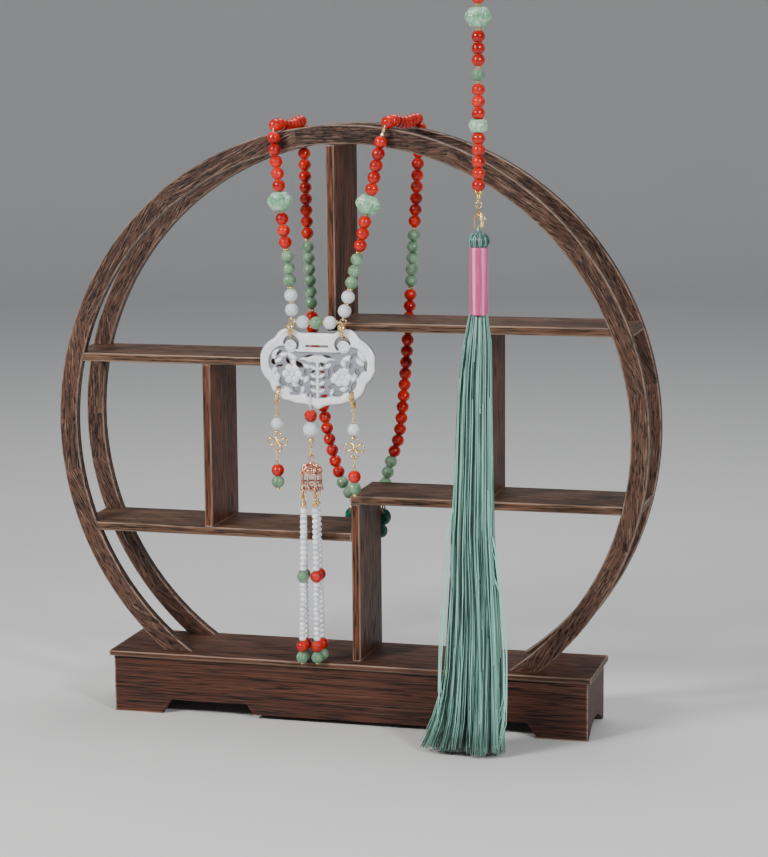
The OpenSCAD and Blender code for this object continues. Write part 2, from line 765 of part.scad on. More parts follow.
// The opening round the top of a scroll, through which the clasp passes
module crescent() {
    difference() {
        translate([scroll[0], crescent_z]) circle(r = crescent_r, $fn = 48);
        translate([scroll[0] + 0.5, scroll_z]) circle(r = scroll_r, $fn = 48);
        translate([scroll[0] - 2, crescent_z - 5.2]) square([12, 5]);
    }
}

// All the openings round the carving
module piercing() {
    for (m = [0, 1]) mirror([m, 0, 0]) crescent();
    for (g = gaps) translate([g[GAP_X], g[GAP_Z]]) rotate(g[GAP_A]) lens(g[GAP_L], g[GAP_W]);
}

// The carved relief of one half that rises to the rim's height
module half_relief() {
    translate([scroll[0] + 0.5, scroll_z]) circle(r = scroll_r - 0.5, $fn = 40);
    for (a = [0 : 60 : 300]) translate([rosette[0] + petal_ring * cos(a), rosette[1] + petal_ring * sin(a)])
        circle(r = petal_r - 0.5, $fn = 24);
    translate([rosette[0], rosette[1]]) circle(r = 1.5, $fn = 24);
    translate([26.4, 6.8]) rotate(60) lens(7.4, 2.2);
    translate([7.4, 4.6]) rotate(-32) lens(7.4, 2.4);
    translate([23, -4.4]) rotate(-20) lens(4, 1.6);
}

module lock() {
    color(white_jade) place() translate([lock_x, lock_y, lock_z]) rotate([90, 0, 0]) difference() {
        union() {
            linear_extrude(field_t, center = true) lock_outline(0.6);
            linear_extrude(lock_t, center = true) difference() {
                lock_outline(0);
                difference() {
                    lock_outline(rim_w);
                    translate([-slot_l / 2 - 2.6, slot_z - 2.6]) square([slot_l + 5.2, 12]);
                }
            }
            translate([0, 0, -field_t / 2]) linear_extrude(field_t / 2 + lock_t / 2) {
                for (m = [0, 1]) mirror([m, 0, 0]) half_relief();
                for (z = [-14.4, -9, -3.6, 1.8]) translate([0, z]) circle(r = 0.9, $fn = 20);
                translate([0, 6.6]) circle(r = 1.7, $fn = 24);
            }
        }
        translate([0, 0, -lock_t]) linear_extrude(2 * lock_t) {
            piercing();
            translate([-slot_l / 2, slot_z - slot_h / 2]) square([slot_l, slot_h]);
            for (drop = [drop_left, drop_right]) translate([drop[SIDE_X], drop[SIDE_Z]])
                circle(r = rim_hole_r, $fn = 32);
        }
    }
}

// The side drops

// The middle of a side drop's first ring, below the claw that passes through the lock's rim
function drop_from(drop, d) = [lock_x + drop[SIDE_X] - (rim_hole_r + d) * sin(drop[SIDE_LEAN]),
    drop_y, lock_z + drop[SIDE_Z] - (rim_hole_r + d) * cos(drop[SIDE_LEAN])];
function drop_at(drop) = drop_from(drop, claw_end);

// An oval claw round the lock's lower rim
module rim_clasp(drop) {
    translate(drop_from(drop, claw_mid)) rotate([0, drop[SIDE_LEAN], 0])
        rotate([0, 0, 90]) link(rim_claw_w, rim_claw_h, rim_claw_wire, rim_claw_t);
}

// A small eye, in the XZ plane
module eye() ring(eye_r, eye_wire);

// A side drop's findings: claw, ring, link, a pin with an eye at each end, a second link and
// a pin with a flat foot
module chain_drop(drop) {
    color(gold) place() {
        rim_clasp(drop);
        translate(drop_at(drop)) {
            ring(drop_ring_r, drop_ring_wire);
            for (k = [[drop_link_dz, drop_link_h], [drop_low_link_dz, drop_low_link_h]])
                translate([0, 0, k[0]]) rotate([0, 0, 90]) link(link_w, k[1], link_wire, link_wire);
            translate([0, 0, drop_eye_dz]) eye();
            translate([0, 0, drop_low_eye_dz]) rotate([0, 0, 90]) eye();
            translate([0, 0, drop_low_eye_dz + eye_r])
                cylinder(h = drop_eye_dz - drop_low_eye_dz - 2 * eye_r, d = pin_d, $fn = 16);
            translate([0, 0, drop_head_dz]) eye();
            translate([0, 0, drop_foot_dz - eps])
                cylinder(h = drop_head_dz - eye_r - drop_foot_dz + eps, d = pin_d, $fn = 16);
            translate([0, 0, drop_foot_dz - drop_foot_h]) cylinder(h = drop_foot_h, d = drop_foot_d, $fn = 24);
        }
    }
}
module chain_drop_left() chain_drop(drop_left);
module chain_drop_right() chain_drop(drop_right);

// A clover of four wire petals round a bead, its upper petal on the pin's eye
module clover(drop) {
    color(gold) place() translate(drop_at(drop) + [0, 0, clover_dz]) {
        rotate([90, 0, 0]) linear_extrude(clover_wire, center = true) {
            for (a = [0 : 90 : 270]) translate([clover_petal_at * cos(a), clover_petal_at * sin(a)])
                difference() {
                    circle(r = clover_petal_r, $fn = 32);
                    circle(r = clover_petal_r - clover_wire, $fn = 32);
                }
            circle(r = clover_petal_at - clover_petal_r + clover_wire / 2, $fn = 24);
        }
        sphere(r = 1.2, $fn = 24);
    }
}
module clover_left() clover(drop_left);
module clover_right() clover(drop_right);

module side_drop_beads(z, d, h) {
    place() for (drop = [drop_left, drop_right]) translate(drop_at(drop) + [0, 0, z]) bead(d, h);
}
module side_drop_jades() color(white_jade) side_drop_beads(drop_jade_dz, jade_d, jade_h);
module side_drop_carnelians() color(carnelian) side_drop_beads(drop_red_dz, bead_d, bead_h);
module side_drop_aventurines() color(aventurine) side_drop_beads(drop_green_dz, bead_d, bead_h);

// The centre drop with its bell cap and four bead strings

// The threads: a loop round the lock's lower rim that runs down through two beads, and one
// through each bead string with a loop round its clip
module fringe_thread() {
    color(thread_white) place() {
        translate([drop_x, lock_y, hang_z]) rotate([0, 0, 90]) link(hang_w, hang_h, thread_d, thread_d);
        translate([drop_x, fringe_y, drop_ball_z + 0.2])
            cylinder(h = hang_z - hang_h / 2 - drop_ball_z + 0.2, d = thread_d, $fn = 16);
        for (s = [0 : 3]) on_string(s) {
            translate([0, 0, string_loop_z]) ring(string_loop_r, thread_d);
            translate([0, 0, string_tip_z + string_tip_h + fit])
                cylinder(h = string_loop_z - string_loop_r - string_tip_z - string_tip_h - fit,
                    d = thread_d, $fn = 16);
        }
    }
}

// What is threaded on string s leans a little about the thread's loop, as the strings spread
module on_string(s) {
    translate([string_at[s][0], string_at[s][1], string_loop_z]) rotate([0, string_lean[s], 0])
        translate([0, 0, -string_loop_z]) children();
}

module fringe_carnelians() {
    color(carnelian) place() {
        translate([drop_x, fringe_y, drop_bead_z]) bead(bead_d, bead_h);
        for (s = [2, 3]) string_bead(s, string_bead_z);
        for (s = [0 : 3]) string_bead(s, string_low_z - string_bead_h / 2 - bead_gap);
    }
}

module fringe_aventurines() {
    color(aventurine) place() {
        for (s = [0, 1]) string_bead(s, string_bead_z);
        for (s = [0 : 3]) string_bead(s, string_low_z - 1.5 * string_bead_h - 2 * bead_gap);
    }
}

module string_bead(s, z) {
    on_string(s) translate([0, 0, z]) bead(string_bead_d, string_bead_h);
}

module fringe_jade() color(white_jade) place()
    translate([drop_x, fringe_y, drop_jade_z]) bead(drop_jade_d, drop_jade_h);

// A gold ball with an eye under it and a blind bore for the thread above
module eye_ball(d, drop, r, wire) {
    difference() {
        union() {
            sphere(d = d, $fn = 24);
            translate([0, 0, -drop]) ring(r, wire);
        }
        cylinder(h = d, d = 1, $fn = 16);
    }
}

// Gold ball, oval ring, and each string's ring, clip and tip
module fringe_findings() {
    color(gold) place() {
        translate([drop_x, fringe_y, drop_ball_z]) eye_ball(drop_ball_d, 2.95, 1.4, 0.6);
        translate([drop_x, fringe_y, drop_ring_z]) rotate([0, 0, 90]) link(4.6, 6.8, 0.7, 0.7);
        for (p = string_at) translate([p[0], p[1], 0]) {
            translate([0, 0, string_ring_z]) link(4.2, 5, 0.6, 0.7);
            translate([0, 0, string_clip_z]) rotate([0, 0, 90]) link(4, 5.8, 0.9, 0.9);
        }
        for (s = [0 : 3]) on_string(s)
            translate([0, 0, string_tip_z]) cylinder(h = string_tip_h, d = string_tip_d, $fn = 20);
    }
}

// The bell cap: a hollow dome over open posts and a flared rim, with an eye above and a thin
// floor that carries an eye for each string
module bell_cap() {
    wall = cap_wall;
    h = cap_top_z - cap_low_z;
    color(rose_gold) place() translate([drop_x, fringe_y, cap_low_z]) difference() {
        union() {
            rotate_extrude($fn = 48) polygon([[0, h], [3.4, h - 0.8], [5.4, h - 2.8], [5.9, h - 5.2],
                [5.9, 4.4], [cap_r, 1.6], [cap_r, 0.6], [cap_r - wall, 0.6], [5.9 - wall, 3.6],
                [5.9 - wall, h - 5.2], [5.4 - wall, h - 3.4], [3.4 - wall, h - 1.7 - wall / 2],
                [0, h - wall - 0.6]]);
            for (a = [0 : 60 : 300]) rotate(a + 30) translate([5.3, 0, h - 4.4]) sphere(r = 1.25, $fn = 20);
            translate([0, 0, 0.6]) cylinder(h = cap_floor, r = cap_r - wall / 2, $fn = 48);
            for (p = string_at) translate([p[0] - drop_x, p[1] - fringe_y, 0]) {
                translate([0, 0, 0.6]) cylinder(h = cap_floor, r = 1.1, $fn = 24);
                translate([0, 0, cap_eyes_z - cap_low_z]) rotate([0, 0, 90]) ring(1.3, 0.7);
            }
            translate([0, 0, h - 0.4]) cylinder(h = cap_eye_z - cap_eye_r - cap_top_z + 0.4, d = 1.4, $fn = 20);
            translate([0, 0, cap_eye_z - cap_low_z]) ring(cap_eye_r, cap_eye_wire);
        }
        for (a = [0 : 45 : 315]) rotate(a) translate([0, 0, 6.4]) rotate([90, 0, 0])
            linear_extrude(9) oval(2.6, 4.2);
    }
}

// Four strings of seed beads, each in an upper and a lower length, drilled for their thread
module fringe_strings() {
    half = string_bead_h / 2 + bead_gap;
    color(white_jade) place() for (s = [0 : 3]) on_string(s) {
        string_length(string_bead_z + half, string_top_z);
        string_length(string_low_z, string_bead_z - half);
    }
}
module string_length(z0, z1) translate([0, 0, (z0 + z1) / 2]) spacer(string_d, z1 - z0);

// The strand with the silk tassel

// The strand's beads from its lower end up, as letters: D is the drum
strand_run = "sRRRRRDRRRSGSRRRSLSRS";
function strand_size(k) = k == "D" ? drum_h : k == "R" || k == "G" ? strand_bead_h : size_of(k);
function stack(i, z) = i == len(strand_run) ? [] : let (h = strand_size(strand_run[i]))
    concat([z + bead_gap + h / 2], stack(i + 1, z + bead_gap + h));
strand_z = stack(0, strand_low_z);
strand_top_z = last(strand_z) + spacer_h / 2 + bead_gap;

module strand_beads(k) {
    color(k == "R" ? carnelian : k == "G" ? aventurine : k == "L" || k == "D" ? pale_jade : gold)
        place() for (i = [0 : len(strand_run) - 1]) if (strand_run[i] == k)
            translate([strand_x, strand_y, strand_z[i]]) {
                if (k == "D") drum(drum_d, drum_h);
                if (k == "R" || k == "G") bead(strand_bead_d, strand_bead_h);
                if (k != "D" && k != "R" && k != "G") bead_of(k);
            }
}

module strand_thread() {
    color(thread_white) place() translate([strand_x, strand_y, strand_ball_z + 0.2])
        cylinder(h = strand_top_z + strand_ball_d / 2 - strand_ball_z - 0.4, d = thread_d, $fn = 16);
}
module strand_carnelians() strand_beads("R");
module strand_jades() {
    strand_beads("L");
    strand_beads("D");
}
module strand_aventurine() strand_beads("G");

// Spacers, a ball with an eye and a ring at each end, and a link and clasp for the tassel
module strand_findings() {
    strand_beads("S");
    strand_beads("s");
    color(gold) place() translate([strand_x, strand_y, 0]) {
        translate([0, 0, strand_ball_z]) rotate([0, 0, 90]) eye_ball(strand_ball_d, 2.6, 1.3, 0.6);
        translate([0, 0, strand_ring_z]) ring(1.7, 0.7);
        translate([0, 0, strand_link_z]) rotate([0, 0, 90]) link(3.6, 6, 0.7, 0.7);
        translate([0, 0, strand_claw_z]) link(5.2, 9.4, 1, 1.3);
        translate([0, 0, strand_top_z + strand_ball_d / 2]) mirror([0, 0, 1]) rotate([0, 0, 90])
            eye_ball(strand_ball_d, 2.6, 1.3, 0.6);
        translate([0, 0, strand_top_z + strand_ball_d / 2 + 5.2]) ring(2.2, 0.8);
    }
}

// Half the skirt's width at the share t of its length
function skirt_half(t) = silk_core_r - 1.5 + (skirt_w / 2 - silk_core_r) * (0.38 * pow(t, 0.35) + 0.62 * pow(t, 2.2));

// One lock of silk: a six-sided tube that leaves the core at the angle a, turns by turn and
// is kicked sideways by kick at its end, at the height z_end
module silk_lock(a, turn, kick, z_end) {
    rows = 7;
    top = wrap_top_z - wrap_h + 1;
    skin([for (j = [0 : rows]) let (
        t = 1 - j / rows,
        z = top - (top - z_end) * t,
        reach = skirt_half(t) * 0.8,
        b = a + turn * t,
        w = 1.6 + 2.9 * sin(90 * pow(t, 0.6)) * (t > 0.99 ? 0.7 : 1),
        c = [silk_sway * t + reach * cos(b) + kick * pow(t, 8), 0.62 * reach * sin(b)])
        [for (q = [0 : 60 : 300]) [c[0] + w * cos(q), c[1] + w * sin(q) * 0.9, z]]]);
}

// The silk: a bound head with a loop, a core under the winding, and the locks of the skirt
// fused to it
module tassel_silk() {
    head_h = silk_top_z - wrap_top_z;
    top = wrap_top_z - wrap_h;
    color(silk_green) place() translate([strand_x, strand_y, 0]) {
        skin([for (p = [[-0.1, 0.6], [0, 0.72], [0.3, 1], [0.62, 0.9], [0.86, 0.56], [1, 0.3]])
            [for (q = [0 : 30 : 330]) [6.2 * p[1] * cos(q), 6.2 * p[1] * sin(q),
                wrap_top_z + p[0] * head_h]]]);
        translate([0, 0, loop_z]) rotate([90, 0, 90]) rotate_extrude($fn = 20)
            translate([loop_r, 0]) circle(d = 1, $fn = 8);
        translate([0, 0, top - 4]) cylinder(h = wrap_h + 4.5, r = silk_core_r, $fn = 12);
        for (i = [0 : lock_count - 1])
            silk_lock(360 * i / lock_count, 14 * sin(137 * i), i == floor(lock_count / 2) ? silk_kick : 0,
                2.2 + 3 * pow(sin(61 * i), 2));
        skin([for (p = [[0, 1], [0.25, 0.84], [0.6, 0.6], [0.9, 0.5], [1, 0.3]])
            [for (q = [0 : 30 : 330]) [
                silk_sway * (1 - p[0]) + p[1] * skirt_w * 0.36 * cos(q),
                p[1] * skirt_w * 0.22 * sin(q), 3.4 + p[0] * (top - 3)]]]);
    }
}

// The pink winding round the tassel's neck
module tassel_wrap() {
    color(satin_pink) place() translate([strand_x, strand_y, wrap_top_z - wrap_h]) difference() {
        cylinder(h = wrap_h - fit, d = wrap_d, $fn = 48);
        translate([0, 0, -1]) cylinder(h = wrap_h + 2, r = silk_core_r + fit, $fn = 48);
    }
}

hoop_front();
hoop_back();
base_board();
base_box();
shelf_left_upper();
shelf_left_lower();
shelf_right_upper();
shelf_right_lower();
post_top();
post_left();
post_right();
post_centre();
thread_left();
thread_right();
thread_cross();
carnelians_left_front();
carnelians_left_rear();
carnelians_right_front();
carnelians_right_rear();
aventurines_left_front();
aventurines_left_rear();
aventurines_right_front();
aventurines_right_rear();
aventurine_cross();
jades_left();
jades_right();
jades_cross();
lotus_left();
lotus_right();
spacers_left();
spacers_right();
clasp_left();
clasp_right();
jump_ring_left();
jump_ring_right();
back_pendant();
back_rings();
lock();
chain_drop_left();
chain_drop_right();
clover_left();
clover_right();
side_drop_jades();
side_drop_carnelians();
side_drop_aventurines();
fringe_thread();
fringe_carnelians();
fringe_aventurines();
fringe_jade();
fringe_findings();
bell_cap();
fringe_strings();
strand_thread();
strand_carnelians();
strand_jades();
strand_aventurine();
strand_findings();
tassel_silk();
tassel_wrap();
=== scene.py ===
import bmesh
import bpy
import numpy as np
from mathutils import Matrix, Vector


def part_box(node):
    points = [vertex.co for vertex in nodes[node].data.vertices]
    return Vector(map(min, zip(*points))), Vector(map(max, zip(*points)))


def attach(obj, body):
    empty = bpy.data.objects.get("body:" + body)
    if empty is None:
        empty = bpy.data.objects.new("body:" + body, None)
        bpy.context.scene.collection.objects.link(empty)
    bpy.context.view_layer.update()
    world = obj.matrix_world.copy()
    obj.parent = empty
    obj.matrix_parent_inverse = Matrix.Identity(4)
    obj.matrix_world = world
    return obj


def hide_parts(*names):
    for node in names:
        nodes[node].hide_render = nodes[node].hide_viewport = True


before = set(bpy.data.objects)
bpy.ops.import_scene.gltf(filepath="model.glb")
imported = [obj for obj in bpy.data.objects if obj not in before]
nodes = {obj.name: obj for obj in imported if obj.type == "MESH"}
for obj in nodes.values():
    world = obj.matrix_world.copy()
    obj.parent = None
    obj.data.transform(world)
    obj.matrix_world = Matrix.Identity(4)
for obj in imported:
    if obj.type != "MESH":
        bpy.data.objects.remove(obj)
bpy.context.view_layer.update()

MM = 0.001


# The camera stands a little to the right of the pendant and looks slightly down, with the long
# lens of a product shot. Its place and turn were worked out from the edges of the base board.
CAMERA_AT = (0.38834, -1.34099, 0.40090)
YAW, PITCH, ROLL = 0.2652, 0.1579, -0.0086
LENS_MM = 101.22


def placed(name, data):
    """A new object that shows data."""
    made = bpy.data.objects.new(name, data)
    bpy.context.collection.objects.link(made)
    return made


ahead = Vector((-np.sin(YAW), np.cos(YAW), -np.tan(PITCH))).normalized()
level = ahead.cross(Vector((0, 0, 1))).normalized()
upward = level.cross(ahead)
right = level * np.cos(ROLL) + upward * np.sin(ROLL)
up = upward * np.cos(ROLL) - level * np.sin(ROLL)
camera = placed("camera", bpy.data.cameras.new("camera"))
camera.data.lens = LENS_MM
turned = Matrix((right, up, -ahead)).transposed().to_4x4()
camera.matrix_world = Matrix.Translation(CAMERA_AT) @ turned
bpy.context.scene.camera = camera


# A plain pale studio floor that sweeps up on every side, of matt painted board. It isn't part of
# the object. Soft boxes light it from the upper left, the right and above.
class Value:
    """One socket of a shader. Sums on it, as in 1 - a * 2, add Math nodes."""

    def __init__(self, paint, socket):
        self.paint, self.socket = paint, socket

    __add__ = __radd__ = lambda a, b: a.paint.sum("ADD", a, b)
    __mul__ = __rmul__ = lambda a, b: a.paint.sum("MULTIPLY", a, b)
    __sub__ = lambda a, b: a.paint.sum("SUBTRACT", a, b)
    __rsub__ = lambda a, b: a.paint.sum("SUBTRACT", b, a)


class Paint:
    """A material with one Principled shader. Fixed numbers are given by socket name."""

    def __init__(self, name, **fixed):
        self.material = bpy.data.materials.new(name)
        self.material.use_nodes = True
        self.tree = self.material.node_tree
        self.shader = self.tree.nodes["Principled BSDF"]
        for socket, number in dict(fixed, Subsurface_Scale=MM).items():
            self.shader.inputs[socket.replace("_", " ")].default_value = number

    def node(self, kind, sockets, out=0, **settings):
        """Adds a node with its settings and the numbers or links of its sockets."""
        made = self.tree.nodes.new("ShaderNode" + kind)
        for name, setting in settings.items():
            setattr(made, name, setting)
        for key, given in sockets.items():
            if isinstance(given, Value):
                self.tree.links.new(given.socket, made.inputs[key])
            else:
                made.inputs[key].default_value = given
        return Value(self, made.outputs[out])

    def sum(self, how, a, b=0.0):
        """A Math node on two values or numbers."""
        return self.node("Math", {0: a, 1: b}, operation=how)

    def places(self):
        """The point's x, y and z in metres, in the part's own frame."""
        point = self.node("TexCoord", {}, "Object")
        return [self.node("SeparateXYZ", {0: point}, axis) for axis in "XYZ"]

    def shade(self):
        """The number that the mesh carries at each point."""
        return self.node("Attribute", {}, "Fac", attribute_name="shade")

    def noise(self, at, scale, detail=3.0, rough=0.55, warp=0.0):
        """Cloudy noise from 0 to 1 over three values, each times its scale."""
        x, y, z = (value * float(k) for value, k in zip(at, np.broadcast_to(scale, 3)))
        return self.node("TexNoise", {
            "Vector": self.node("CombineXYZ", {0: x, 1: y, 2: z}), "Scale": 1.0,
            "Detail": detail, "Roughness": rough, "Distortion": warp})

    def step(self, value, low, high):
        """0 below low and 1 above high, with a soft edge between."""
        return self.node("MapRange", {"Value": value, "From Min": low, "From Max": high},
                         interpolation_type="SMOOTHSTEP")

    def mix(self, share, a, b):
        """The colour a where share is 0 and b where it is 1. Plain ones are display colours."""
        a, b = (c if isinstance(c, Value) else (*(np.array(c) / 255) ** 2.2, 1.0) for c in (a, b))
        return self.node("Mix", {0: share, 6: a, 7: b}, 2, data_type="RGBA")

    def bump(self, height, depth_mm):
        """A bump whose height of 1 stands depth_mm proud."""
        return self.node("Bump", {"Distance": depth_mm * MM, "Height": height})

    def finish(self, **varying):
        """Links what changes over the surface to the shader, and returns the material."""
        for name, value in varying.items():
            self.tree.links.new(value.socket, self.shader.inputs[name.replace("_", " ")])
        return self.material


def grid_faces(rows, cols, wrap_cols=True, wrap_rows=False, copies=1):
    """The quads of a grid of points, and of each copy of it."""
    index = np.arange(copies * rows * cols).reshape(-1, rows, cols)
    index = np.pad(index, ((0, 0), (0, wrap_rows), (0, wrap_cols)), "wrap")
    here, ahead = index[:, :-1], index[:, 1:]
    return np.stack([here[..., :-1], here[..., 1:], ahead[..., 1:], ahead[..., :-1]],
                    -1).reshape(-1, 4)


def sweep_points(u, v):
    """A shallow dish over u and v from -1 to 1: level, a quarter circle up, a straight wall."""
    flat, bend, wall = 2.6, 0.8, 1.0
    run = np.maximum(np.abs(u), np.abs(v)) * (flat + bend * np.pi / 2 + wall)
    turn = np.clip((run - flat) / bend, 0, np.pi / 2)
    rise = bend * (1 - np.cos(turn)) + np.maximum(run - flat - bend * np.pi / 2, 0)
    out = (np.minimum(run, flat) + bend * np.sin(turn)) / np.maximum(np.hypot(u, v), 1e-9)
    return np.stack([out * u, out * v, rise], -1)


SIDE = 81
grid = sweep_points(*np.meshgrid(*[np.linspace(-1, 1, SIDE)] * 2))
floor_mesh = bpy.data.meshes.new("studio_floor")
floor_mesh.from_pydata(grid.reshape(-1, 3), [], grid_faces(SIDE, SIDE, wrap_cols=False).tolist())
floor_mesh.shade_smooth()
paint = Paint("studio_board", Roughness=0.9)
floor_mesh.materials.append(paint.finish(Base_Color=paint.mix(
    paint.noise(paint.places(), 3), (208, 208, 207), (214, 214, 213))))
placed("studio_floor", floor_mesh)

# Each soft box's place, size, power and colour. All face the pendant.
for i, (place, size, power, tint) in enumerate((
        ((-0.75, -1.0, 0.95), 0.34, 21, (1.0, 0.98, 0.95)),
        ((0.95, -0.95, 0.8), 0.24, 11, (0.97, 0.98, 1.0)),
        ((0.1, 0.45, 1.5), 0.8, 9, (1.0, 1.0, 1.0)))):
    lamp = bpy.data.lights.new(f"soft_box_{i}", "AREA")
    lamp.size, lamp.energy, lamp.color = size, power, tint
    box = placed(lamp.name, lamp)
    box.location = place
    box.rotation_euler = (Vector((0, 0, 0.2)) - box.location).to_track_quat("-Z", "Y").to_euler()
sky = bpy.context.scene.world = bpy.data.worlds.new("studio")
sky.use_nodes = True
light = sky.node_tree.nodes["Background"].inputs
light["Color"].default_value, light["Strength"].default_value = (0.9, 0.93, 1.0, 1), 0.3


# The stand: planed boards and steamed hoops of a dark reddish-brown hardwood, glued and tenoned,
# with open pores along the grain and a thin wax finish. Each hoop is cut from twelve segments.
HOOP_Z, HOOP_R, HOOP_W = 0.1758, 0.18, 0.011
SEGMENTS, FIRST_JOINT = 12, 0.16


def named(*parts):
    """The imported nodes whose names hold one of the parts."""
    return [name for name in nodes if any(part in name for part in parts)]


def dress(material, names):
    """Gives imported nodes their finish."""
    for name in names:
        nodes[name].data.materials.clear()
        nodes[name].data.materials.append(material)


def wood(node, grain, run, dark, warm, pale):
    """Hardwood whose grain runs along x, along z or round the hoop, shorter as run grows, in three
    colours, with open pores, and edges painted pale: partly wear, partly a painted highlight."""
    paint = Paint(f"wood_{node}", Specular_IOR_Level=0.3, Coat_Weight=0.06, Coat_Roughness=0.35)
    x, y, z = at = paint.places()
    low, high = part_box(node)
    depth = [paint.sum("MINIMUM", at[i] - low[i], high[i] - at[i]) for i in range(3)]
    along, across, deep, shade = (x, z, y, 0.0) if grain == "x" else (z, x, y, 0.0)
    if grain == "hoop":
        rise = z - HOOP_Z
        turn = 2 * np.pi / SEGMENTS
        segment = paint.sum("FLOOR", (paint.sum("ARCTAN2", rise, x) - FIRST_JOINT) * (1 / turn))
        middle = (segment + 0.5) * turn + FIRST_JOINT + 0.09
        cos, sin = paint.sum("COSINE", middle), paint.sum("SINE", middle)
        along = rise * cos - x * sin
        across = x * cos + rise * sin
        deep = y + segment * 0.11
        shade = (paint.noise((segment, 0.5, 0.5), (3.7, 1, 1), 0) - 0.5) * 0.2
        reach = paint.sum("SQRT", x * x + rise * rise)
        ring = paint.sum("MINIMUM", HOOP_R - reach, reach - (HOOP_R - HOOP_W))
        edge = paint.sum("MAXIMUM", ring, depth[1])
    else:
        less = paint.sum("MINIMUM", depth[0], depth[1])
        more = paint.sum("MAXIMUM", depth[0], depth[1])
        edge = paint.sum("MAXIMUM", less, paint.sum("MINIMUM", more, depth[2]))
    at = (along * run, across, deep)
    band = paint.noise(at, (7, 95, 95), 4, 0.65)
    fine = paint.noise(at, (50, 1050, 1050), 2, 0.6)
    pore = paint.step(paint.noise(at, (85, 1500, 1500), 1, 0.5), 0.53, 0.66)
    beside = (at[0] + 9 / 34, across, deep)
    streak = paint.step(paint.noise(beside, (34, 1250, 1250), 2, 0.6), 0.52, 0.72)
    colour = paint.mix(paint.step(band * 0.45 + fine * 0.55 + shade, 0.34, 0.6), dark, warm)
    colour = paint.mix(streak * 0.75, colour, pale)
    colour = paint.mix(pore * 0.9, colour, (9, 6, 5))
    # Pale edges: a painted highlight where light catches them, together with wear
    edge_highlight_and_wear = (1 - paint.step(edge, 0.0002, 0.0011)) * paint.step(fine * 0.6 + band * 0.4, 0.3, 0.6)
    return paint.finish(Base_Color=paint.mix(edge_highlight_and_wear * 0.65, colour, (176, 152, 134)),
                        Roughness=0.4 + fine * 0.25 + pore * 0.2,
                        Normal=paint.bump(fine * 0.4 - pore, 0.14))


for part, grain, run, *tones in (
        ("hoop", "hoop", 2.2, (34, 23, 19), (84, 58, 46), (132, 106, 90)),
        ("shelf", "x", 0.8, (38, 25, 18), (98, 68, 50), (140, 112, 90)),
        ("base_board", "x", 0.6, (42, 25, 18), (92, 58, 42), (124, 90, 70)),
        ("base_box", "x", 0.5, (44, 25, 19), (82, 48, 36), (98, 66, 52)),
        ("post", "z", 0.8, (38, 20, 12), (100, 57, 36), (134, 90, 64))):
    for name in named(part):
        dress(wood(name, grain, run, *tones), [name])


# The round beads: carnelian and aventurine of 7.6 mm and white jade of 7.9 mm, turned, drilled
# and tumbled to a high polish, threaded with a hair's space between neighbours.
def stone(name, dark, light, cell_mm, deep, reach_mm, sheen=0.0, veil=None, veil_share=0.0):
    """A polished stone: two colours in clouds of cell_mm, light that sinks in by reach_mm, and a
    veil of a third colour."""
    paint = Paint(name, Subsurface_Weight=deep, Subsurface_Radius=reach_mm, IOR=1.54,
                  Specular_IOR_Level=0.15, Coat_Weight=0.75, Coat_Roughness=0.02,
                  Sheen_Weight=sheen, Sheen_Roughness=0.3)
    x, y, z = at = paint.places()
    cell = cell_mm * MM
    cloud = paint.noise(at, 1 / cell, 2, 0.5, 0.4)
    fine = paint.noise(at, 900, 3, 0.6)
    colour = paint.mix(paint.step(cloud * 0.8 + fine * 0.2, 0.34, 0.66), dark, light)
    if veil:
        drawn = (x * 1.7, y * 1.7, z * 2.6 + 7 * cell)
        thread = paint.step(paint.noise(drawn, 1 / cell, 4, 0.6, 1.2), 0.52, 0.7)
        colour = paint.mix(thread * veil_share, colour, veil)
    return paint.finish(Base_Color=colour, Roughness=0.14 + fine * 0.08,
                        Normal=paint.bump(cloud, 0.02))


dress(stone("carnelian", (146, 10, 0), (212, 38, 1), 9.0, 0.2, (2.0, 0.3, 0.05)),
      named("carnelians"))
dress(stone("aventurine", (88, 126, 96), (132, 166, 134), 6.5, 0.3, (1.4, 1.8, 1.4), 0.25,
            veil=(176, 200, 176), veil_share=0.22), named("aventurine"))
dress(stone("white_jade", (192, 200, 204), (224, 228, 230), 9.0, 0.45, (2.2, 2.3, 2.4), 0.45,
            veil=(244, 246, 246), veil_share=0.35), named("jades_", "drop_jades", "fringe_jade"))


# The threads: waxed polyester, twisted, drawn through every bore and tied off in a small loop.
paint = Paint("thread_twist", Roughness=0.7, Sheen_Weight=0.3)
twist = paint.noise(paint.places(), (2500, 2500, 5200), 1)
dress(paint.finish(Base_Color=paint.mix(twist, (214, 200, 184), (246, 240, 230)),
                   Normal=paint.bump(twist, 0.05)), named("thread"))


# The spacers between the stones: daisy rings of tiny brass balls soldered side by side, and one
# short flared tube, all gold-plated and strung on the thread.
FLARED_TUBE = [(0.6, -2.1), (1.15, -2.1), (1.2, -1.8), (0.95, -1.3),
               (0.95, 1.3), (1.2, 1.8), (1.15, 2.1), (0.6, 2.1)]
UP, FORE, ACROSS = np.array([0.0, 0, 1]), np.array([0.0, -1, 0]), np.array([1.0, 0, 0])


def full_turn(count):
    """Equal angles all the way round."""
    return np.arange(count) * 2 * np.pi / count


def polar(turn, reach, height):
    """Points at angles round the z axis, at a distance from it and a height."""
    turn, reach, height = np.broadcast_arrays(turn, reach, height)
    return np.stack([reach * np.cos(turn), reach * np.sin(turn), height], -1)


def balls(centres, radius, sides=10, rings=6):
    """Balls at an array of centres: circles of latitude from pole to pole."""
    rise = np.linspace(-np.pi / 2, np.pi / 2, rings + 1)[:, None]
    points = np.reshape(centres, (-1, 1, 1, 3)) + radius * polar(
        full_turn(sides), np.cos(rise), np.sin(rise))
    return points.reshape(-1, 3), grid_faces(rings + 1, sides, copies=len(points))


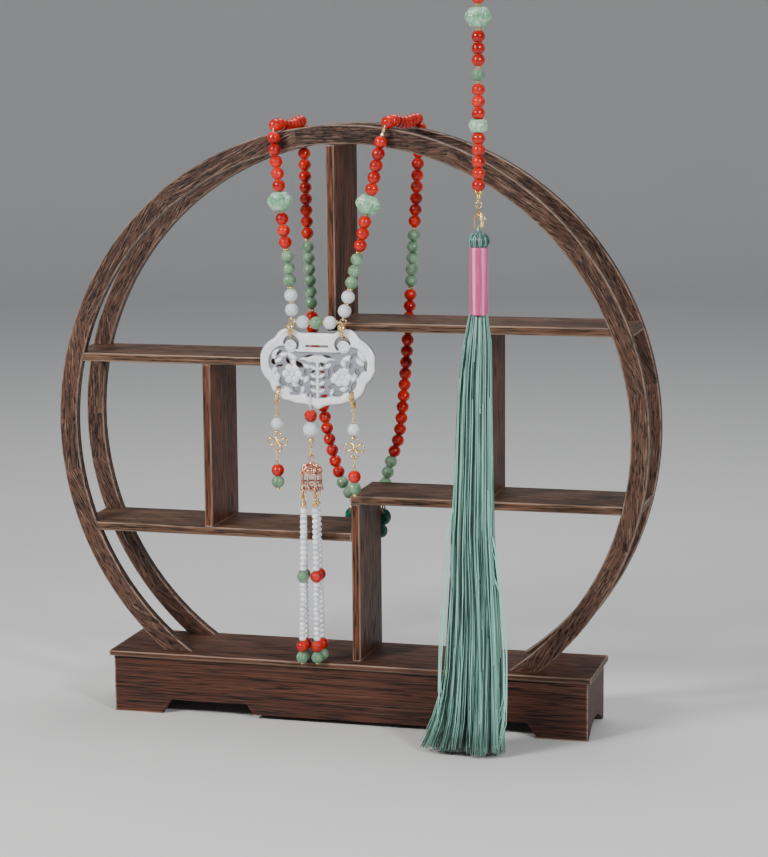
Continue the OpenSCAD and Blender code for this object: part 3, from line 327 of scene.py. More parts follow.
def tubes(paths, radius, sides, closed=False, flat=1.0, side_on=(0.31, 0.95, 0.05)):
    """A round section carried square along each path of an array (..., points, 3), flat times as
    wide one way. An open path's ends run to a point."""
    paths = np.asarray(paths, float)
    radius = np.broadcast_to(radius, paths.shape[:-1])
    if closed:
        along = np.roll(paths, -1, -2) - np.roll(paths, 1, -2)
    else:
        rows = [0, *range(paths.shape[-2]), -1]
        along = np.gradient(paths, axis=-2)[..., rows, :]
        paths, radius = paths[..., rows, :], radius[..., rows].copy()
        radius[..., [0, -1]] = 0
    along /= np.linalg.norm(along, axis=-1, keepdims=True)
    side = np.cross(along, side_on)
    side /= np.linalg.norm(side, axis=-1, keepdims=True)
    over = np.cross(side, along)
    turn = full_turn(sides)[:, None]
    ring = np.cos(turn) * side[..., None, :] * flat + np.sin(turn) * over[..., None, :]
    points = paths[..., None, :] + radius[..., None, None] * ring
    copies = int(np.prod(points.shape[:-3]))
    return points.reshape(-1, 3), grid_faces(points.shape[-3], sides, True, closed, copies)


def lathe(profile, sides, about=(0, 0, 0), shape=None, bored=False):
    """A profile of radii and heights turned about an upright axis, its ends joined if it is
    bored. shape scales each radius by the angle and the row."""
    reach, height = np.split(np.asarray(profile, float), 2, 1)
    turn = full_turn(sides)
    if shape:
        reach = reach * shape(turn, height)
    points = np.add(about, polar(turn, reach, height))
    return points.reshape(-1, 3), grid_faces(len(profile), sides, wrap_rows=bored)


def build(name, shells, material, body, instead_of=(), shade=None):
    """One piece of closed shells, each of points in millimetres and faces. Those inside out are
    turned round. shade is a number for each point."""
    start, points, faces = 0, [], []
    for shell, loops in shells:
        corner = shell[loops[:, 0]]
        volume = sum((corner * np.cross(shell[loops[:, k]], shell[loops[:, k + 1]])).sum()
                     for k in range(1, loops.shape[1] - 1))
        points.append(shell)
        faces += ((loops if volume > 0 else loops[:, ::-1]) + start).tolist()
        start += len(shell)
    mesh = bpy.data.meshes.new(name)
    mesh.from_pydata(np.concatenate(points) * MM, [], faces)
    if shade is not None:
        mesh.attributes.new("shade", "FLOAT", "POINT").data.foreach_set("value", shade)
    made = bmesh.new()
    made.from_mesh(mesh)
    bmesh.ops.remove_doubles(made, verts=made.verts, dist=2e-7)
    made.to_mesh(mesh)
    made.free()
    mesh.shade_smooth()
    mesh.materials.append(material)
    piece = placed(name, mesh)
    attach(piece, body)
    if instead_of:
        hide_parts(*instead_of)


def solids_of(name):
    """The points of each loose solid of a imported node, in millimetres: points that share an edge
    take the lower of their labels, until none changes."""
    mesh = nodes[name].data
    points, ends = np.empty(len(mesh.vertices) * 3), np.empty(len(mesh.edges) * 2, int)
    mesh.vertices.foreach_get("co", points)
    mesh.edges.foreach_get("vertices", ends)
    points, same = np.unique(np.round(points.reshape(-1, 3) / MM, 3), axis=0, return_inverse=True)
    ends = same.ravel()[ends.reshape(-1, 2)]
    label, lower = np.full(len(points), -1), np.arange(len(points))
    while (label != lower).any():
        label = lower.copy()
        np.minimum.at(lower, ends.ravel(), label[ends].min(1).repeat(2))
        lower = lower[lower]
    return [points[label == each] for each in np.unique(label)]


def stance(points):
    """A solid's middle, its axes from the longest to the shortest, and its size on them."""
    middle = (points.max(0) + points.min(0)) / 2
    axes = np.linalg.eigh(np.cov((points - points.mean(0)).T))[1][:, ::-1].T
    axes *= np.where(axes[:, 2:] < -1e-3, -1, 1)
    local = (points - middle) @ axes.T
    return middle + (local.max(0) + local.min(0)) / 2 @ axes, axes, np.ptp(local, axis=0)


def set_down(shell, middle, axes):
    """A shell drawn at the origin, moved to middle with its x, y and z along the axes."""
    return middle + shell[0] @ axes, shell[1]


def daisy(width, height, petals):
    """A ring of balls round the thread, held on a finer ring inside it."""
    ball = height / 2
    at = polar(full_turn(petals), width / 2 - ball, 0)
    return balls(at, ball), tubes(at, ball * 0.62, 6, closed=True, side_on=(0.02, 0.03, 1))


def spacer_shells(name):
    """Every spacer of a node: a tube where it is over 4 mm long, or else a daisy."""
    shells = []
    for middle, axes, size in map(stance, solids_of(name)):
        if size[0] > 4:
            tube = lathe(FLARED_TUBE, 12, bored=True)
            shells.append(set_down(tube, middle, axes[[1, 2, 0]]))
        else:
            shells += [set_down(part, middle, axes)
                       for part in daisy(size[0], size[2], 6 if size[0] > 3.3 else 7)]
    return shells


def plate(name, dark, light, gloss):
    """Plated brass with cloudy wear in its colour and gloss and a faint waviness."""
    paint = Paint(name, Metallic=0.82, Coat_Weight=0.15, Coat_Roughness=0.1)
    at = paint.places()
    wear = paint.noise(at, 260, 4, 0.6)
    return paint.finish(Base_Color=paint.mix(paint.step(wear, 0.3, 0.7), dark, light),
                        Roughness=gloss + wear * 0.16,
                        Normal=paint.bump(paint.noise(at, 700, 2), 0.03))


gold = plate("champagne_gold", (236, 184, 100), (255, 232, 182), 0.1)
for side in ("left", "right"):
    build(f"daisy_spacers_{side}", spacer_shells(f"spacers_{side}"), gold, "stand",
          [f"spacers_{side}"])


# The flower beads: pale green-white jade cut as a flat six-lobed lotus, with veins engraved down
# its petals, and a round drum bead cut in twelve petals. Both are drilled along the thread.
BORE, CLEFT = 0.6, 0.035
DRUM = [(BORE, -3.5), (3.4, -3.5), (4.3, -3.3), (4.75, -2.5), (5.3, -1.2), (5.69, 0), (5.3, 1.2),
        (4.75, 2.5), (4.3, 3.3), (3.4, 3.5), (BORE, 3.5)]
# The lotus from its lower end up: height, half width and half depth, as shares
LOTUS = np.array([
    (-0.5, 0.2, 0.3), (-0.49, 0.48, 0.5), (-0.45, 0.59, 0.62), (-0.39, 0.65, 0.76),
    (-0.33, 0.69, 0.86), (-0.27, 0.76, 0.92), (-0.2, 0.86, 0.96), (-0.12, 0.94, 0.99),
    (-0.04, 0.985, 1.0), (0.04, 1.0, 1.0), (0.12, 0.985, 0.99), (0.2, 0.93, 0.96),
    (0.27, 0.83, 0.93), (0.32, 0.74, 0.88), (0.37, 0.7, 0.8), (0.42, 0.67, 0.7),
    (0.46, 0.6, 0.6), (0.49, 0.47, 0.48), (0.5, 0.2, 0.3)])


def held(value):
    """The value, kept between 0 and 1."""
    return np.clip(value, 0, 1)


def hump(distance, width):
    """1 where distance is 0, falling away as exp(-(distance / width) ** 2)."""
    return np.exp(-(distance / width) ** 2)


def petal_veins(turn, height):
    """Grooves down the petals, deepest at mid height, and one that waves round the waist."""
    along = hump(np.sin(3 * turn), 0.2) * held(1 - (2 * height) ** 2)
    fine = 0.5 * hump(np.sin(9 * turn), 0.4) * held(1 - (2.3 * height) ** 2)
    waist = 0.8 * hump(height - 0.02 - 0.12 * np.abs(np.cos(3 * turn)), 0.035)
    return held(along + fine + waist)


def flower(width, deep, high, rows=44, cols=72):
    """A lotus bead about the z axis, facing y: each level is an oval of the table's half width
    and depth, cut in by the veins. The bore joins the two ends."""
    level = np.linspace(-0.5, 0.5, rows)[:, None]
    turn = full_turn(cols)
    vein = petal_veins(turn, level)
    half_x, half_y = (np.interp(level, LOTUS[:, 0], LOTUS[:, k]) for k in (1, 2))
    reach = (1 - 0.045 * vein) / 2
    x = width * half_x * np.cos(turn) * reach
    y = deep * half_y * np.sign(np.sin(turn)) * np.abs(np.sin(turn)) ** 0.85 * reach
    ends = [polar(turn, BORE, end * high)[None] for end in (-0.5, 0.5)]
    outer = np.stack([x, y, high * level + 0 * turn], -1)
    points = np.concatenate([ends[0], outer, ends[1]]).reshape(-1, 3)
    # The veins' depth, which the material paints as shade in the grooves
    shade = np.pad(vein, ((1, 1), (0, 0)), constant_values=1).ravel()
    return (points, grid_faces(rows + 2, cols, wrap_rows=True)), shade


def drum_petals(turn, height):
    """Twelve petals, parted by soft clefts that fade towards both ends."""
    return 1 - CLEFT * hump(np.sin(6 * turn), 0.35) * held(1.15 - np.abs(height) / 3.5)


# Pale green jade, cloudy, with each vein and cleft darkened from the mesh's shade: painted shade in
# the grooves
paint = Paint("engraved_pale_jade", Subsurface_Weight=0.4, Subsurface_Radius=(1.5, 2.0, 1.7),
              Coat_Weight=0.2, Coat_Roughness=0.08)
at = paint.places()
cloud = paint.noise(at, 230, 3, 0.55, 0.5)
body = paint.mix(paint.step(cloud, 0.32, 0.68), (112, 166, 130), (178, 208, 182))
flower_jade = paint.finish(
    Base_Color=paint.mix(paint.shade() * 0.5, body, (58, 112, 84)),
    Roughness=0.2 + paint.noise(at, 1500, 2) * 0.1, Normal=paint.bump(cloud, 0.03))

for name, node in (("lotus_bead_left", "lotus_left"), ("lotus_bead_right", "lotus_right"),
                   ("strand_flowers", "strand_jades")):
    shells, shades = [], []
    for middle, axes, size in map(stance, solids_of(node)):
        if size.max() > 13:
            facing = [np.abs(axes[:, k]).argmax() for k in range(3)]
            axes = axes[facing]
            shell, shade = flower(*size[facing])
        else:
            shell = lathe(DRUM, 48, shape=drum_petals, bored=True)
            # The clefts' depth, which the material paints as shade in the grooves
            shade = (1 - drum_petals(full_turn(48), np.array(DRUM)[:, 1:])).ravel() / CLEFT
        shells.append(set_down(shell, middle, axes))
        shades.append(shade)
    build(name, shells, flower_jade, "stand", [node], np.concatenate(shades))


# The findings: lobster clasps of cast brass at the lock, round its rim holes and over the silk
# head, with the wire rings, oval links and head pins between them. All are plated pale gold.
CLAW_Y, CLAW_Z, CLAW_R = -3.9, 236.9, 4.3
STRAND_BALLS = ((90.3, -46.2, 320.75), (92.7, -46.4, 320.5))


def wire_ring(middle, radius, a, b, wire, steps, sides):
    """A ring of round wire about middle, in the plane of the directions a and b."""
    turn = full_turn(steps)[:, None]
    return tubes(middle + radius * (np.cos(turn) * a + np.sin(turn) * b), wire, sides,
                 closed=True, side_on=np.cross(a, b))


def lobster_clasp(middle, long_axis, side_axis, half_long, half_side, thin, thick, broad,
                  start, end):
    """A claw's cast body: part of a wire loop that swells from thin to thick and back, broad
    times as wide across, with a thumb lever and a collar."""
    def at(turn):
        return middle + np.cos(turn) * half_long * long_axis + np.sin(turn) * half_side * side_axis

    turn = np.linspace(start * np.pi, end * np.pi, 40)
    swell = held(np.sin(turn / end)) ** 0.7 * (1 + 0.25 * hump(turn - 0.95, 0.25))
    cross = np.cross(long_axis, side_axis)
    lever = at(1.0) + side_axis * thick * 0.8
    return [
        tubes(at(turn[:, None]), thin + (thick - thin) * swell, 12, flat=broad,
              side_on=np.cross(side_axis, cross) + side_axis * 0.02 + cross * 0.01),
        balls([lever, lever + (side_axis * 0.25 - long_axis * 0.5) * thick], thick * 0.62, 12, 8),
        wire_ring(at(0.45), thick * 0.85, side_axis, cross, thick * 0.3, 20, 8)]


for side in ("left", "right"):
    middle = stance(solids_of(f"clasp_{side}")[0])[0]
    middle[1:] = CLAW_Y, CLAW_Z
    build(f"lobster_clasp_{side}",
          [wire_ring(middle, CLAW_R, UP, FORE, 0.58, 48, 10)]
          + lobster_clasp(middle, UP, FORE, CLAW_R, CLAW_R, 0.5, 1.4, 1.5, 0.03, 0.7),
          gold, "stand", [f"clasp_{side}"])
    middle, axes, _ = next(each for each in map(stance, solids_of(f"chain_drop_{side}"))
                           if each[2][1] > 5)
    build(f"drop_clasp_{side}",
          lobster_clasp(middle, axes[0], FORE, 4.3, 3.2, 0.52, 1.15, 1.25, 0.08, 0.72),
          gold, "lock")
middle, _, _ = next(each for each in map(stance, solids_of("strand_findings"))
                    if 9 < each[2][0] < 10)
build("strand_clasp",
      [balls(STRAND_BALLS, 1.15, 12, 8)]
      + lobster_clasp(middle, UP, ACROSS, 4.2, 2.15, 0.55, 1.5, 1.3, 0.06, 0.82),
      gold, "stand")
dress(gold, named("_ring", "chain_drop", "findings"))


# The clovers: four drop-shaped loops of round gold wire soldered at their points, hung by the
# upper loop and carrying the last two stones from the lower one.
def clover_loops(middle):
    """Four loops on the axes of a cross: each runs out from the middle and back, widest at two
    thirds of its length."""
    turn, arm = full_turn(36), full_turn(4)[:, None]
    swell = 0.5 - 0.5 * np.cos(turn)
    out, wide = 0.3 + 5.65 * swell ** 0.8, 2.7 * np.sin(turn) * swell ** 0.45
    x, z = out * np.cos(arm) - wide * np.sin(arm), out * np.sin(arm) + wide * np.cos(arm)
    return middle + np.stack([x, 0 * x, z], -1)


for side in ("left", "right"):
    middle = stance(solids_of(f"clover_{side}")[0])[0]
    build(f"wire_clover_{side}",
          [tubes(clover_loops(middle), 0.54, 8, closed=True, side_on=(0, 1, 0)),
           balls([middle + 0.45 * FORE], 0.85, 12, 8)], gold, "lock", [f"clover_{side}"])


# The lock pendant: a 4 mm plate of white jade with a smooth rounded rim, pierced right through and
# carved inside it with scrolls, fronds and two rosettes, then polished. It hangs from two clasps.
LOCK_X, LOCK_Y, LOCK_Z = -14.5, -3.9, 214.0
RIM, FIELD, CELL = 2.0, 1.35, 0.27
LOBES = ((17.2, 15.1, 9.2), (20.2, 4.0, 15.4), (17.2, -6.8, 12.3))
ROSETTES = ((-15.6, -3.0), (14.9, -4.2))
DROP_HOLES = ((-23.6, -11.6), (20.7, -13.55))
SCROLL_X, SCROLL_Z, COIL = 16.0, 13.7, 2.1
# The pierced gaps, from the lock's centre: x, z, length, width, turn, bow
GAPS = (
    (-27.2, 3.9, 3.6, 2, -75, 0.3), (-23.4, 1.4, 4.6, 1.3, 15, 0.3), (-18.3, 4.6, 4, 1.6, -65, 0.4),
    (-11.2, 2.4, 5.6, 2.6, -38, 0.5), (-7.4, -2.3, 3.8, 1.4, -75, 0.3),
    (-22, -8, 5.6, 1.8, -56, 0.9), (-12.9, -12.4, 5.4, 2.6, -18, 0.4),
    (-10.3, -8.6, 3.2, 1.5, -60, 0.2), (-4.2, -15, 5, 2.3, 16, 0), (-3.2, -10.2, 3, 1, 12, 0.2),
    (-3.2, -6, 3, 1, -12, -0.2), (-3.1, -1.6, 3, 1.1, 30, 0.2), (-5.6, 7.7, 5.6, 1, 14, 0.3),
    (-23.6, 9.4, 4.4, 1.2, 44, -0.4), (2.9, 2.6, 3.2, 1.4, -40, 0.2), (3.1, -1.4, 3, 1, 0, 0),
    (5.2, -5, 4.4, 1.1, 6, 0.2), (7.2, -1.6, 4.2, 1.1, 86, 0.3), (11.5, 0.9, 5.2, 3, 48, -0.4),
    (8.4, -9.9, 3.6, 1.8, 30, 0.3), (12.1, -14, 5.6, 2.9, 14, 0.4), (4.1, -15.8, 5, 1.7, 10, 0.3),
    (3.1, -10.6, 3, 1, -12, 0.2), (21.7, 8.4, 5.2, 1.4, 42, -0.4), (20.1, 2.5, 3.2, 1.3, 78, 0.2),
    (24, -1, 4, 2, -62, 0.3), (29.4, 2.4, 6.8, 1.9, 86, -0.5), (21.8, -9.2, 5.4, 1.9, 50, -0.8),
    (5.8, 7.6, 5.2, 1, -14, 0.3),
)

# The carved fronds, in the same terms
FRONDS = (
    (-26, 8.6, 7.4, 2.9, 62, -0.6), (-20.4, 8.2, 5.8, 2.4, 10, 0.6),
    (-23.6, 4.9, 5.6, 2.4, 28, 0.5), (-15.6, 7.4, 6.6, 2.6, -34, 0.5),
    (-14.6, 3.9, 4.6, 2.4, -60, 0.4), (-26.2, -1, 5.6, 2.6, 62, 0.4),
    (-24.4, -4.6, 5.4, 2.4, -66, 0.5), (-18.4, -12.6, 5.8, 2.6, -24, 0.6),
    (-14.2, -9.4, 4.6, 2.2, -40, 0.4), (-9.4, -12.4, 4.8, 2.2, 62, 0.4),
    (-8.8, -15.8, 6.4, 2.2, 4, 0.4), (-6.8, -6, 5, 2.3, 64, 0.5), (-6.6, 1.6, 4.8, 2.2, -20, 0.4),
    (-9.6, -5.4, 3.4, 1.8, -30, 0.3), (26.4, 8.6, 7.6, 2.9, -58, 0.6),
    (25.6, 4.6, 6.6, 2.7, -40, 0.5), (18.2, 6.6, 6.2, 2.7, 16, 0.5),
    (15.6, 3.6, 4.6, 2.4, -62, 0.4), (27.2, -3.6, 6.6, 2.8, 72, -0.5),
    (22.2, -4.6, 5.4, 2.4, 66, 0.4), (15.8, -11.4, 5.4, 2.4, 12, 0.5),
    (9.4, -6.4, 4.6, 2.2, -46, 0.4), (8.6, -13.4, 4.4, 2, 78, 0.3), (8.4, -17, 5.4, 2, 8, 0.4),
    (6.4, 2, 5.2, 2.2, 26, 0.4), (16.6, -15, 5, 2.2, 20, 0.4),
)


def far(x, z, cx, cz):
    """How far a point lies from another."""
    return np.hypot(x - cx, z - cz)


def soft_min(a, b, blend):
    """The lesser of two fields, their crease rounded over blend."""
    share = held(0.5 + 0.5 * (b - a) / blend)
    return b + (a - b) * share - blend * share * (1 - share)


def outline_field(x, z):
    """How far a point lies outside the lock: six round lobes, the plate between them and a
    pointed lip, joined with small fillets."""
    side = np.abs(x)
    lobes = [far(side, z, cx, cz) - r for cx, cz, r in LOBES]
    plate = np.max([side - 13.5, z - 21.6, -18 - z], 0)
    low = np.interp(side, [0, 3.5, 8, 14.4, 17.2, 18], [-24, -21.8, -20.9, -20.4, -19, -18.2])
    lip = np.max([low - z, side - 17.4, z], 0) * 0.92
    field = soft_min(lobes[0], lobes[1], 1.2)
    for other in (lobes[2], plate, lip):
        field = soft_min(field, other, 0.8)
    return field


def field_edge(x, z):
    """How far a point lies outside the sunk, carved field inside the rim."""
    side = np.abs(x)
    low = np.interp(side, [0, 3.5, 8, 14.4, 20], [-17.6, -16.4, -15.9, -15.6, -15.2])
    field = soft_min(far(side, z, 20.2, 4.0) - 9.6, far(side, z, 17.2, -6.8) - 6.6, 1.5)
    return soft_min(field, np.max([side - 17, z - 10.1, low - z], 0), 1.2)


def lens(x, z, cx, cz, length, width, turn, bow):
    """How far a point lies outside a pointed form, turned by degrees and bowed at its ends, and
    the point's place along and across the form."""
    a = np.radians(turn)
    u = (x - cx) * np.cos(a) + (z - cz) * np.sin(a)
    v = (z - cz) * np.cos(a) - (x - cx) * np.sin(a) - bow * (2 * u / length) ** 2
    r = (length ** 2 + width ** 2) / (4 * width)
    return np.hypot(u, np.abs(v) + r - width / 2) - r, u, v


def gap_field(x, z):
    """How far a point lies outside the nearest opening: slot, crescents, holes or gaps."""
    side = np.abs(x)
    slot = np.maximum(side - 6.8, np.abs(z - 13.7) - 0.6)
    crescent = np.maximum(far(side, z, 15.6, 15.0) - 4.9, 3.7 - far(side, z, 16.1, 13.7))
    crescent = np.maximum(crescent, 14.8 - z - 3.2 * (side < 13.6))
    return np.min([slot, crescent, *(far(x, z, *hole) - 1.45 for hole in DROP_HOLES),
                   *(lens(x, z, *gap)[0] for gap in GAPS)], 0)


def ridge(distance, width, height):
    """A round-backed ridge of that width and height where a distance is 0."""
    return height * np.sqrt(held(1 - (2 * distance / width) ** 2))


def scroll(side, z):
    """How far a point lies from a scroll's spiral, which widens by COIL for each turn."""
    reach = far(side, z, SCROLL_X, SCROLL_Z)
    angle = (np.arctan2(z - SCROLL_Z, side - SCROLL_X) + 1.2) / (2 * np.pi)
    near = COIL * (np.clip(np.round(reach / COIL - angle), 0, 1.15) + angle)
    return np.where(near > 0, reach - near, 9.0)


def frond(x, z, cx, cz, length, width, turn, bow, height=0.9):
    """A carved frond: a pillowed pointed form with a midrib and slanting veins."""
    outside, u, v = lens(x, z, cx, cz, length, width, turn, bow)
    inside = held(-2 * outside / width)
    vein = 0.18 * hump(v, 0.16) + 0.08 * (0.5 + 0.5 * np.cos((u - 0.8 * np.abs(v)) * 5.2)) ** 3
    return np.where(inside > 0, height * np.sqrt(inside) - vein * inside, 0)


def spray(x, z):
    """The middle: a plain upright stem with four knots and pairs of fronds."""
    forms = [ridge(x, 1.9, 0.85) * (np.abs(z + 5) < 13)]
    forms += [ridge(far(x, z, 0, cz), 2.4, 0.95) for cz in (-15.2, -11.0, -6.7, -2.2)]
    forms += [frond(x, z, hand * 2.5, cz, length, 2.7, hand * 26, 0.35, 0.95)
              for cz, length in ((-12.7, 5.0), (-8.4, 5.4), (-3.9, 5.4), (0.8, 5.6))
              for hand in (-1, 1)]
    return np.max(forms, 0)


def wings(x, z):
    """The canopy over the spray: a round boss between two drooping, scalloped wings."""
    side = np.abs(x)
    low = 2.9 + 0.9 * np.abs(np.sin(side * 0.62)) + 0.02 * side ** 2
    top = 8.4 - 0.018 * side ** 2
    inside = held(np.min([z - low, top - z, 13.2 - side], 0) / 1.1)
    rib = 0.14 * (0.5 + 0.5 * np.cos(side * 1.9 + (z - 5) * 0.7)) ** 4
    return np.maximum(inside ** 0.5 * 0.75 - rib * inside, ridge(far(x, z, 0, 6.3), 4.4, 1.05))


def rosette(x, z, cx, cz):
    """Six rounded petals with a cleft between them and a crease down each, round a domed eye."""
    reach, turn = far(x, z, cx, cz), np.arctan2(z - cz, x - cx)
    sixth = np.cos(3 * turn) ** 2
    edge = 5.3 + sixth ** 0.7
    petal = held(1 - (reach / edge) ** 6) ** 0.5 * (0.55 + 0.5 * sixth ** 0.5)
    petal = petal - 0.16 * np.exp((sixth - 1) / 0.05) * (reach > 2.4)
    petal = np.where(reach < edge, petal * np.clip(reach / 3.2, 0.4, 1), 0)
    return np.maximum(petal, ridge(reach, 3.6, 0.95) - 0.1 * (reach < 1.5) * np.cos(reach * 9))


def relief(x, z):
    """The front's height over the plate's middle: a sunk field, the forms carved on it, and a
    smooth, flat-topped rim rolled over at both edges."""
    side, depth = np.abs(x), -outline_field(x, z)
    forms = [spray(x, z), wings(x, z), *(rosette(x, z, *at) for at in ROSETTES)]
    forms += [frond(x, z, cx, cz, 1.14 * length, 1.4 * width, turn, bow)
              for cx, cz, length, width, turn, bow in FRONDS]
    height = 0.5 + 1.35 * held(np.max(forms, 0))
    band = held(field_edge(x, z) / 0.8 + 0.5)
    top = RIM - 0.22 * held(np.abs(depth / 2.9 - 1)) ** 2
    height = height + (top - height) * (3 * band ** 2 - 2 * band ** 3)
    height = np.where(far(side, z, SCROLL_X, SCROLL_Z) < 4.0,
                      1.25 + ridge(scroll(side, z), 1.7, 0.72), height)
    height = 0.3 + (height - 0.3) * np.sqrt(held(1 - (1 - held(depth / 2.1)) ** 2))
    crease = 0.35 * hump(x, 0.35) * held((-z - 18.5) / 3)
    eased = 0.28 * (1 - held(gap_field(x, z) / 0.5)) ** 2
    return np.clip(height - crease - eased, 0.3, RIM)


def solid_field(x, z):
    """How far a point lies outside the pierced plate."""
    return np.maximum(outline_field(x, z), -gap_field(x, z))


def jade_plate():
    """The lock's points and triangles, and for each point how high it is carved, faded towards the
    gaps: the number from which the material paints shade and shadow. A grid is drawn onto the
    edges of the outline and the gaps where it comes within half a cell of them. Its cells
    inside become the front and the back, and a wall joins the two."""
    x, z = np.meshgrid(np.arange(-34.6, 34.6, CELL), np.arange(-24.6, 24.0, CELL), indexing="ij")
    for _ in range(2):
        field = solid_field(x, z)
        slope_x = (solid_field(x + 0.02, z) - solid_field(x - 0.02, z)) / 0.04
        slope_z = (solid_field(x, z + 0.02) - solid_field(x, z - 0.02)) / 0.04
        pull = np.where(np.abs(field) < 0.52 * CELL, field, 0)
        pull = pull / np.maximum(slope_x ** 2 + slope_z ** 2, 0.3)
        x, z = x - pull * slope_x, z - pull * slope_z
    corners = grid_faces(*x.shape, wrap_cols=False)
    x, z = x.ravel(), z.ravel()
    inside = (solid_field(x, z) < 0.12 * CELL)[corners]
    whole = corners[inside.all(1)]
    triangles = [whole[:, [0, 1, 2]], whole[:, [0, 2, 3]]]
    triangles += [np.delete(corners[(inside.sum(1) == 3) & ~inside[:, out]], out, 1)
                  for out in range(4)]
    front = np.concatenate(triangles)
    edges = front[:, [0, 1, 1, 2, 2, 0]].reshape(-1, 2)
    _, first, count = np.unique(np.sort(edges, 1), axis=0, return_index=True, return_counts=True)
    start, end = edges[first[count == 1]].T
    face = relief(x, z)
    back = np.where(outline_field(x, z) > -6, face, np.minimum(face, FIELD))
    points = np.concatenate([np.stack([LOCK_X + x, LOCK_Y + y, LOCK_Z + z], -1)
                             for y in (-face, back)])
    total = len(x)
    shell = np.concatenate([front, front[:, ::-1] + total,
                            np.stack([end, start, start + total], -1),
                            np.stack([end, start + total, end + total], -1)])
    used, shell = np.unique(shell, return_inverse=True)
    # The carved height, faded out at the gap edges, which the material reads for painted shade and
    # shadow
    carved = np.concatenate([face, back]) / RIM * np.tile(held(0.3 + gap_field(x, z) / 0.5), 2)
    return points[used], shell.reshape(-1, 3), carved[used]


# Milky white jade, duller in the cut places, with a cool painted shade in the carved recesses
# and a near-black painted shadow on the edges and walls of the pierced gaps
paint = Paint("carved_jade", Subsurface_Weight=0.45, Subsurface_Radius=(1.5, 1.6, 1.9), IOR=1.6,
              Coat_Weight=0.2, Coat_Roughness=0.12)
at = paint.places()
cloud = paint.noise(at, 110, 3, 0.55, 0.6)
fine = paint.noise(at, 1600, 3, 0.6)
body = paint.mix(paint.step(cloud, 0.35, 0.7), (222, 225, 231), (248, 248, 249))
shade = paint.shade()
# cut: painted shade in the recesses, where the polish is also duller; edge: painted shadow at the
# gaps
cut = 1 - paint.step(shade, 0.25, 0.8)
edge = 1 - paint.step(shade, 0.1, 0.24)
body = paint.mix(edge * 0.9, paint.mix(cut * 0.85, body, (112, 115, 126)), (36, 37, 43))
points, triangles, carved = jade_plate()
build("lock_plate", [(points, triangles)],
      paint.finish(Base_Color=body, Roughness=0.2 + cut * 0.2 + fine * 0.08,
                   Normal=paint.bump(fine, 0.02)),
      "lock", ["lock"], carved)


# The bell cap: a little rose-gold pavilion of cast and soldered wire over a thin dome, with eight
# ribs, a ring of bosses, open posts, thorns and a scalloped lower edge. Four strings hang in it.
CAP = np.array([-18.9, -5.1, 142.4])
STRING_AT = np.array([(-22.1, -11.4), (-24.4, -3.9), (-15.5, -9.4), (-16.5, -1.6)])
STRING_LEAN, STRING_LOOP_Z = np.radians([1.3, 0, 0, -1.2]), 133.75
DOME = [(0.01, 15.9), (2.4, 15.5), (4.2, 14.1), (5.1, 12.3), (5.35, 10.4), (4.85, 10.4),
        (4.6, 12), (3.8, 13.6), (2.2, 14.8), (0.01, 15.1)]
FLOOR = [(0.01, 0.6), (4.7, 0.6), (4.9, 1.0), (4.7, 1.4), (0.01, 1.4)]
KNOB = [(0.01, 15.4), (1.25, 15.6), (1.3, 16.1), (0.7, 16.6), (0.55, 17.9), (0.01, 17.9)]
CUP = [(0.01, 0.62), (1.1, 0.62), (1.1, 1.38), (0.01, 1.38)]


def bell_shells():
    """The cap's shells, from its axis out: dome, floor, knob, eye, ribs, bosses, posts, scallops,
    bands, thorns, and for each string an eye, a cup and a spoke."""
    rib = full_turn(8)[:, None] + 0.29
    post = rib + np.pi / 8
    rise, across = np.linspace(0, 1, 14), np.linspace(-1, 1, 16)
    arch, sag = 0.9 + 5.0 * np.sin(rise * np.pi / 2) ** 0.9, 1 - across ** 2
    shells = [
        lathe(DOME, 40, CAP), lathe(FLOOR, 40, CAP), lathe(KNOB, 20, CAP),
        wire_ring(CAP + 19.32 * UP, 1.5, UP, ACROSS, 0.4, 32, 9),
        tubes(CAP + polar(rib, arch, 15.9 - 5.5 * rise ** 1.9), 0.42, 7),
        balls(CAP + polar(post, 4.95, 12.2), 1.5, 16, 10),
        tubes(CAP + polar(post, 5.75, 4.6 + 5.7 * rise), 1.0 - 0.3 * np.sin(rise * np.pi), 10),
        tubes(CAP + polar(rib + across * np.pi / 8, 6.1 + 0.5 * sag, 4.2 - 3.9 * sag ** 0.8),
              0.4, 7)]
    for reach, height, wire in ((5.9, 10.3, 0.5), (5.75, 11.3, 0.32), (5.9, 4.6, 0.5)):
        shells.append(wire_ring(CAP + height * UP, reach, ACROSS, -FORE, wire, 64, 8))
    for height in (10.4, 4.7):
        thorn = polar(post, 5.9 + 1.45 * rise, height + 0.75 * rise ** 2)
        shells.append(tubes(CAP + thorn, 0.5 * (1 - rise) ** 0.8 + 0.05, 6))
    for x, y in STRING_AT:
        foot = np.array([x, y, CAP[2]])
        shells += [wire_ring(foot - 0.1 * UP, 1.3, UP, FORE, 0.35, 32, 8), lathe(CUP, 20, foot),
                   tubes(CAP + UP + rise[:, None] * (foot - CAP), 0.42, 7)]
    return shells


rose_gold = plate("rose_gold", (204, 134, 104), (252, 206, 180), 0.14)
build("bell_pavilion", bell_shells(), rose_gold, "lock", ["bell_cap"])


# The fringe: four strings of small milky glass rondelles, twelve above and twelve below the
# middle bead, and a gold shell closed over the knot at the head of each.
LOWER, UPPER, KNOT_Z = (52.4, 87.8), (94.6, 132.3), 134.05
RONDELLE = np.array([(0.45, -0.46), (1.25, -0.5), (1.55, -0.4), (1.92, -0.24), (2.13, -0.06),
                     (2.13, 0.06), (1.92, 0.24), (1.55, 0.4), (1.25, 0.5), (0.45, 0.46)])


